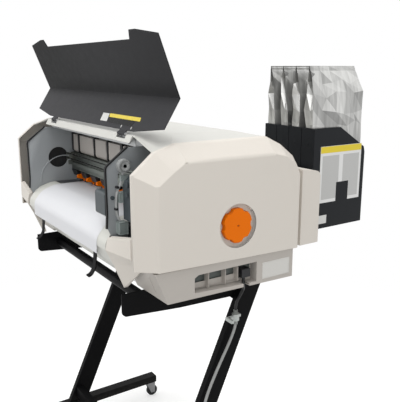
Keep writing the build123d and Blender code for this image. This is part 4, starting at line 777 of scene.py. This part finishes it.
CARD_FRONT = 0.284
CARD_BACK = 0.493
CARD_FLOOR = 1.159
CARD_TOP = 1.363
NOTCH_FRONT = 0.369
NOTCH_BACK = 0.432
NOTCH_TOP = 1.229
CARD_THICK = 0.0008
CARD_BAND = 0.024
BAND_MARGIN = 0.001
BAND_THICK = 0.0003
CARD_COLOUR = (0.70, 0.70, 0.69)
FIELD_COLOUR = (0.47, 0.47, 0.46)
FIELD_MIDDLES = (0.3365, 0.4405)
FIELD_HALF = 0.042
FIELD_FLOOR = CARD_FLOOR + 0.012
FIELD_TOP = CARD_TOP - CARD_BAND - 0.01
card_print = moulded("card_print", CARD_COLOUR, 0.35, grain=300.0)
across_card = card_print.axis("Y")
up_card = card_print.axis("Z")
front_field, back_field = [abs(across_card - y) < FIELD_HALF for y in FIELD_MIDDLES]
field = (up_card > FIELD_FLOOR) * (up_card < FIELD_TOP) * (front_field + back_field)
card_print.set(base_color=card_print.mix(field, CARD_COLOUR, FIELD_COLOUR))

CARD = [(CARD_FRONT, CARD_FLOOR), (NOTCH_FRONT, CARD_FLOOR), (NOTCH_FRONT, NOTCH_TOP),
        (NOTCH_BACK, NOTCH_TOP), (NOTCH_BACK, CARD_FLOOR), (CARD_BACK, CARD_FLOOR),
        (CARD_BACK, CARD_TOP), (CARD_FRONT, CARD_TOP)]
BAND = [(CARD_FRONT + BAND_MARGIN, CARD_TOP - CARD_BAND), (CARD_BACK - BAND_MARGIN, CARD_TOP - CARD_BAND),
        (CARD_BACK - BAND_MARGIN, CARD_TOP - BAND_MARGIN), (CARD_FRONT + BAND_MARGIN, CARD_TOP - BAND_MARGIN)]
TAG = [(0.272, 1.082), (0.327, 1.082), (0.327, 1.113), (0.272, 1.113)]
outer_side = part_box("ink_rack")[1].x
card = side_plate(CARD, outer_side, CARD_THICK, PLATE_EDGE)
smoothed(piece_from(card, "rack_card", card_print, "chassis"))
band = side_plate(BAND, outer_side + CARD_THICK, BAND_THICK, FILM_EDGE)
smoothed(piece_from(band, "rack_card_band", film_yellow, "chassis"))
tag = side_plate(TAG, outer_side, CARD_THICK, PLATE_EDGE)
smoothed(piece_from(tag, "rack_tag", film_white, "chassis"))


# Ink pouches: four foil laminate bags of ink standing in the holders, full below, folded in at both
# edges and welded flat along the top. Creased all over, with a crimped seam, and painted light on its facets.
FOIL_PAINTED_SHADE = (0.24, 0.24, 0.235)
FOIL_PAINTED_HIGHLIGHT = (0.80, 0.80, 0.78)
foil = Finish("foil", metallic=0.75)
# Each facet carries painted light and shade, set from how it faces a light direction when the bag is made.
painted_facet_tone = foil.node("Attribute", {"attribute_name": "facet_painted_light"}, {}, "Fac")
streaks = foil.node("Mapping", {}, {"Vector": foil.place, "Scale": (60, 60, 5)})
wrinkle = foil.grain(1.0, 4.0, streaks)
painted_light_and_wrinkle = foil.step(painted_facet_tone + (wrinkle - 0.5) * 0.5, 0.1, 0.9)
foil.set(base_color=foil.mix(painted_light_and_wrinkle, FOIL_PAINTED_SHADE, FOIL_PAINTED_HIGHLIGHT), roughness=0.24 + wrinkle * 0.14)
foil.bump(wrinkle, 0.0012)

POUCH_COUNT = 4
POUCH_SEED = 11
POUCH_GAP = 0.19
POUCH_LIFT = 0.012
POUCH_REACH = 0.0296
# Height share, front and back drawn in, half thickness, and how far each edge is folded in.
POUCH_LEVELS = [(0.00, 0.036, 0.014, 0.013, 0.000), (0.08, 0.019, 0.003, 0.025, -0.001),
                (0.45, 0.016, 0.003, 0.0265, -0.002), (0.63, 0.013, 0.003, 0.0272, -0.001),
                (0.72, 0.008, 0.004, 0.0290, 0.004), (0.82, 0.006, 0.010, 0.0250, 0.018),
                (0.91, 0.004, 0.024, 0.0160, 0.030), (0.97, 0.002, 0.036, 0.0050, 0.034),
                (1.00, 0.001, 0.041, 0.0016, 0.034)]
SIDE_POINTS = 6
BELLY = 0.28
CREASE = 0.007
CREASED_FROM = 0.5
CREASED_TO = 0.95
LIGHT_SIDE = Vector((0.2, -0.25, 0.95))
FACET_LEVEL = 0.3
FACET_PAINTED_LIGHT_SLOPE = 0.6
FACET_VARIES = 0.11
FACET_CUTS = 3
CRUSH = 0.0016
CRUSH_SCALE = Vector((30, 30, 14))
CRUSH_FROM = 0.3
WELD_FROM = 0.97
WELD_CRUSH = 0.25
SEAM_TALL = 0.014
SEAM_WAVE = 0.0007
SEAM_WAVES = 2300
FOIL_SMOOTH_UNDER = math.radians(14)
low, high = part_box("ink_pouches")
pouch_pitch = (high.x - low.x) / (POUCH_COUNT - POUCH_GAP)
for i in range(POUCH_COUNT):
    random.seed(POUCH_SEED + i)
    middle = high.x - pouch_pitch * (i + (1 - POUCH_GAP) / 2)
    bag = bmesh.new()
    rings = []
    for share, front_in, back_in, half, fold in POUCH_LEVELS:
        front = low.y + front_in
        back = high.y - back_in
        z = low.z + POUCH_LIFT + (high.z - low.z - POUCH_LIFT) * share
        loose = CREASE if CREASED_FROM < share < CREASED_TO else 0.0
        ring = []
        for side in (1, -1):
            for k in range(SIDE_POINTS):
                along = k / (SIDE_POINTS - 1)
                along = along if side > 0 else 1 - along
                belly = 1 - BELLY + BELLY * math.sin(math.pi * along)
                out = side * half * belly + random.uniform(-loose, loose)
                slid = 0.0 if k in (0, SIDE_POINTS - 1) else random.uniform(-loose, loose) * 2
                rise = random.uniform(-loose, loose) * 2
                ring.append(bag.verts.new((middle + out, front + (back - front) * along + slid, z + rise)))
            edge = back - fold if side > 0 else front + fold
            ring.append(bag.verts.new((middle, edge, z)))
        rings.append(ring)
    for lower, upper in zip(rings, rings[1:]):
        for k in range(len(lower)):
            after = (k + 1) % len(lower)
            bag.faces.new((lower[k], lower[after], upper[after], upper[k]))
    bag.faces.new(rings[0][::-1])
    bag.faces.new(rings[-1])
    bmesh.ops.triangulate(bag, faces=bag.faces[:], quad_method="ALTERNATE")
    bmesh.ops.recalc_face_normals(bag, faces=bag.faces)
    bag.normal_update()
    # Painted light: each facet is painted paler the more it faces LIGHT_SIDE, with a random share of its own.
    facet_painted_light = bag.faces.layers.float.new("facet_painted_light")
    for face in bag.faces:
        slope = face.normal.dot(LIGHT_SIDE)
        face[facet_painted_light] = FACET_LEVEL + FACET_PAINTED_LIGHT_SLOPE * slope + random.uniform(-FACET_VARIES, FACET_VARIES)
    bmesh.ops.subdivide_edges(bag, edges=bag.edges[:], cuts=FACET_CUTS, use_grid_fill=True)
    bmesh.ops.recalc_face_normals(bag, faces=bag.faces)
    bag.normal_update()
    away = Vector((random.uniform(-5, 5), random.uniform(-5, 5), random.uniform(-5, 5)))
    for v in bag.verts:
        share = (v.co.z - low.z) / (high.z - low.z)
        crush = max(0.0, min(1.0, (share - CRUSH_FROM) * 3)) * (WELD_CRUSH if share > WELD_FROM else 1.0)
        v.co += v.normal * crush * CRUSH * noise.noise(v.co * CRUSH_SCALE + away)
        v.co.x = max(middle - POUCH_REACH, min(middle + POUCH_REACH, v.co.x))
        if v.co.z > high.z - SEAM_TALL:
            v.co.x += SEAM_WAVE * math.sin(v.co.z * SEAM_WAVES)
        v.co.z = min(v.co.z, high.z)
    made = piece_from(bag, f"ink_pouch_{i + 1}", foil, "chassis", ["ink_pouches"])
    smoothed(made, FOIL_SMOOTH_UNDER)


# Drain: a black hose from an outlet block in the right band down to a plastic stopcock, and a clear
# hose from there down the leg to the waste bottle. Natural polyethylene, stained by what runs through.
HOSE_DIAMETER = 0.010
hose_black = Finish("hose_black", specular_ior_level=0.35, base_color=(0.012, 0.012, 0.013))
hose_black.set(roughness=0.34 + hose_black.grain(30.0, 3.0) * 0.12)
hose_clear = Finish("hose_clear", specular_ior_level=0.45)
inked = hose_clear.grain(30.0, 3.0)
hose_clear.set(base_color=hose_clear.mix(inked, (0.26, 0.265, 0.26), (0.36, 0.365, 0.355)),
               roughness=0.26 + inked * 0.12)


def hose(name, finish, route):
    """A hose that hangs from a fitting down to another along its own smooth line."""
    made = tube_line(name, route, HOSE_DIAMETER / 2, steps=16, sides=5)
    made.data.materials.append(finish.material)
    bpy.context.scene.collection.objects.link(made)
    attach(made, "chassis")
    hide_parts("drain_line")


DRAIN_ROUTE = [(0.554, -0.093, 0.980), (0.554, -0.093, 0.942), (0.500, -0.049, 0.910),
               (0.452, -0.019, 0.872), (0.4423, -0.037, 0.835), (0.4423, -0.037, 0.809)]
WASTE_ROUTE = [(0.4423, -0.037, 0.757), (0.4423, -0.037, 0.735), (0.4423, -0.128, 0.580),
               (0.4423, -0.171, 0.485), (0.4673, -0.189, 0.448), (0.4673, -0.189, 0.416)]
hose("drain_hose", hose_black, DRAIN_ROUTE)
hose("waste_hose", hose_clear, WASTE_ROUTE)

OUTLET_LOW = Vector((0.538, -0.110, 0.980))
OUTLET_HIGH = Vector((0.568, -0.076, 1.008))
outlet = block_between(OUTLET_LOW, OUTLET_HIGH)
rounded(outlet, outlet.edges[:], SMALL_EDGE)
smoothed(piece_from(outlet, "drain_outlet", black_plastic, "chassis", ["drain_line"]))

BOTTLE_EDGE = 0.003
clear_plastic = moulded("clear_plastic", (0.52, 0.55, 0.53), 0.26, tint=0.1, soil=0.3)
softened("stopcock", clear_plastic, SMALL_EDGE)
softened("stopcock_lever", clear_plastic, SMALL_EDGE)
bottle_white = moulded("bottle_white", (0.58, 0.58, 0.54), 0.36, tint=0.08, soil=0.3)
softened("waste_bottle", bottle_white, BOTTLE_EDGE, 3)


# Hook arms: two flat steel hooks under the front guide that catch the cut media.
# Powder coated black, as the stand is.
softened("hook_arms", stand_black, SMALL_EDGE)


# Studio: a pale floor that fades into a white surround, and three large soft lamps. The floor keeps
# the machine's shadow, and what the camera, gloss or glass sees beyond it is plain white.
bpy.context.scene.view_settings.view_transform = "Standard"
# Name, place, aim, size and power.
LAMPS = [
    ("overhead", (0.3, -0.6, 4.2), (0, -0.2, 1.2), 3.2, 84),
    ("front_left", (-3.0, -3.4, 2.8), (0, -0.2, 1.3), 2.4, 34),
    ("knob_side", (4.0, -2.0, 2.4), (0.3, 0, 1.2), 2.6, 26),
]
for lamp_name, lamp_place, lamp_aim, lamp_size, lamp_power in LAMPS:
    lamp = bpy.data.objects.new(lamp_name, bpy.data.lights.new(lamp_name, "AREA"))
    bpy.context.scene.collection.objects.link(lamp)
    lamp.data.size = lamp_size
    lamp.data.energy = lamp_power
    lamp.location = lamp_place
    lamp.rotation_euler = (Vector(lamp_aim) - Vector(lamp_place)).to_track_quat("-Z", "Y").to_euler()

WORLD_LEVEL = 0.5
world = bpy.data.worlds.new("studio")
bpy.context.scene.world = world
world.use_nodes = True
nodes = world.node_tree.nodes
links = world.node_tree.links
background = nodes["Background"]
ray = nodes.new("ShaderNodeLightPath")
white_for = None
for kind in ("Is Camera Ray", "Is Glossy Ray", "Is Transmission Ray"):
    seen = nodes.new("ShaderNodeMath")
    seen.operation = "MAXIMUM"
    links.new(ray.outputs[kind], seen.inputs[0])
    if white_for:
        links.new(white_for, seen.inputs[1])
    white_for = seen.outputs[0]
level = nodes.new("ShaderNodeMapRange")
level.inputs["To Min"].default_value = WORLD_LEVEL
level.inputs["To Max"].default_value = 1.0
links.new(white_for, level.inputs["Value"])
links.new(level.outputs[0], background.inputs["Strength"])
background.inputs["Color"].default_value = (1, 1, 1, 1)

FLOOR_RADIUS = 6.0
FLOOR_SOLID = 0.9
FLOOR_CLEAR = 2.4
FLOOR_LIFT = 0.45
ground = bmesh.new()
bmesh.ops.create_circle(ground, cap_ends=True, segments=96, radius=FLOOR_RADIUS)
floor_mesh = bpy.data.meshes.new("floor")
ground.to_mesh(floor_mesh)
ground.free()
floor = bpy.data.objects.new("floor", floor_mesh)
bpy.context.scene.collection.objects.link(floor)
floor_pale = Finish("floor_pale", roughness=0.75, base_color=(0.72, 0.72, 0.71), emission_color=(1, 1, 1))
spread = floor_pale.node("VectorMath", {"operation": "LENGTH"}, {0: floor_pale.place}, "Value")
floor_pale.set(alpha=1 - floor_pale.step(spread, FLOOR_SOLID, FLOOR_CLEAR))
floor_pale.set(emission_strength=floor_pale.node("LightPath", {}, {}, "Is Camera Ray") * FLOOR_LIFT)
floor_mesh.materials.append(floor_pale.material)
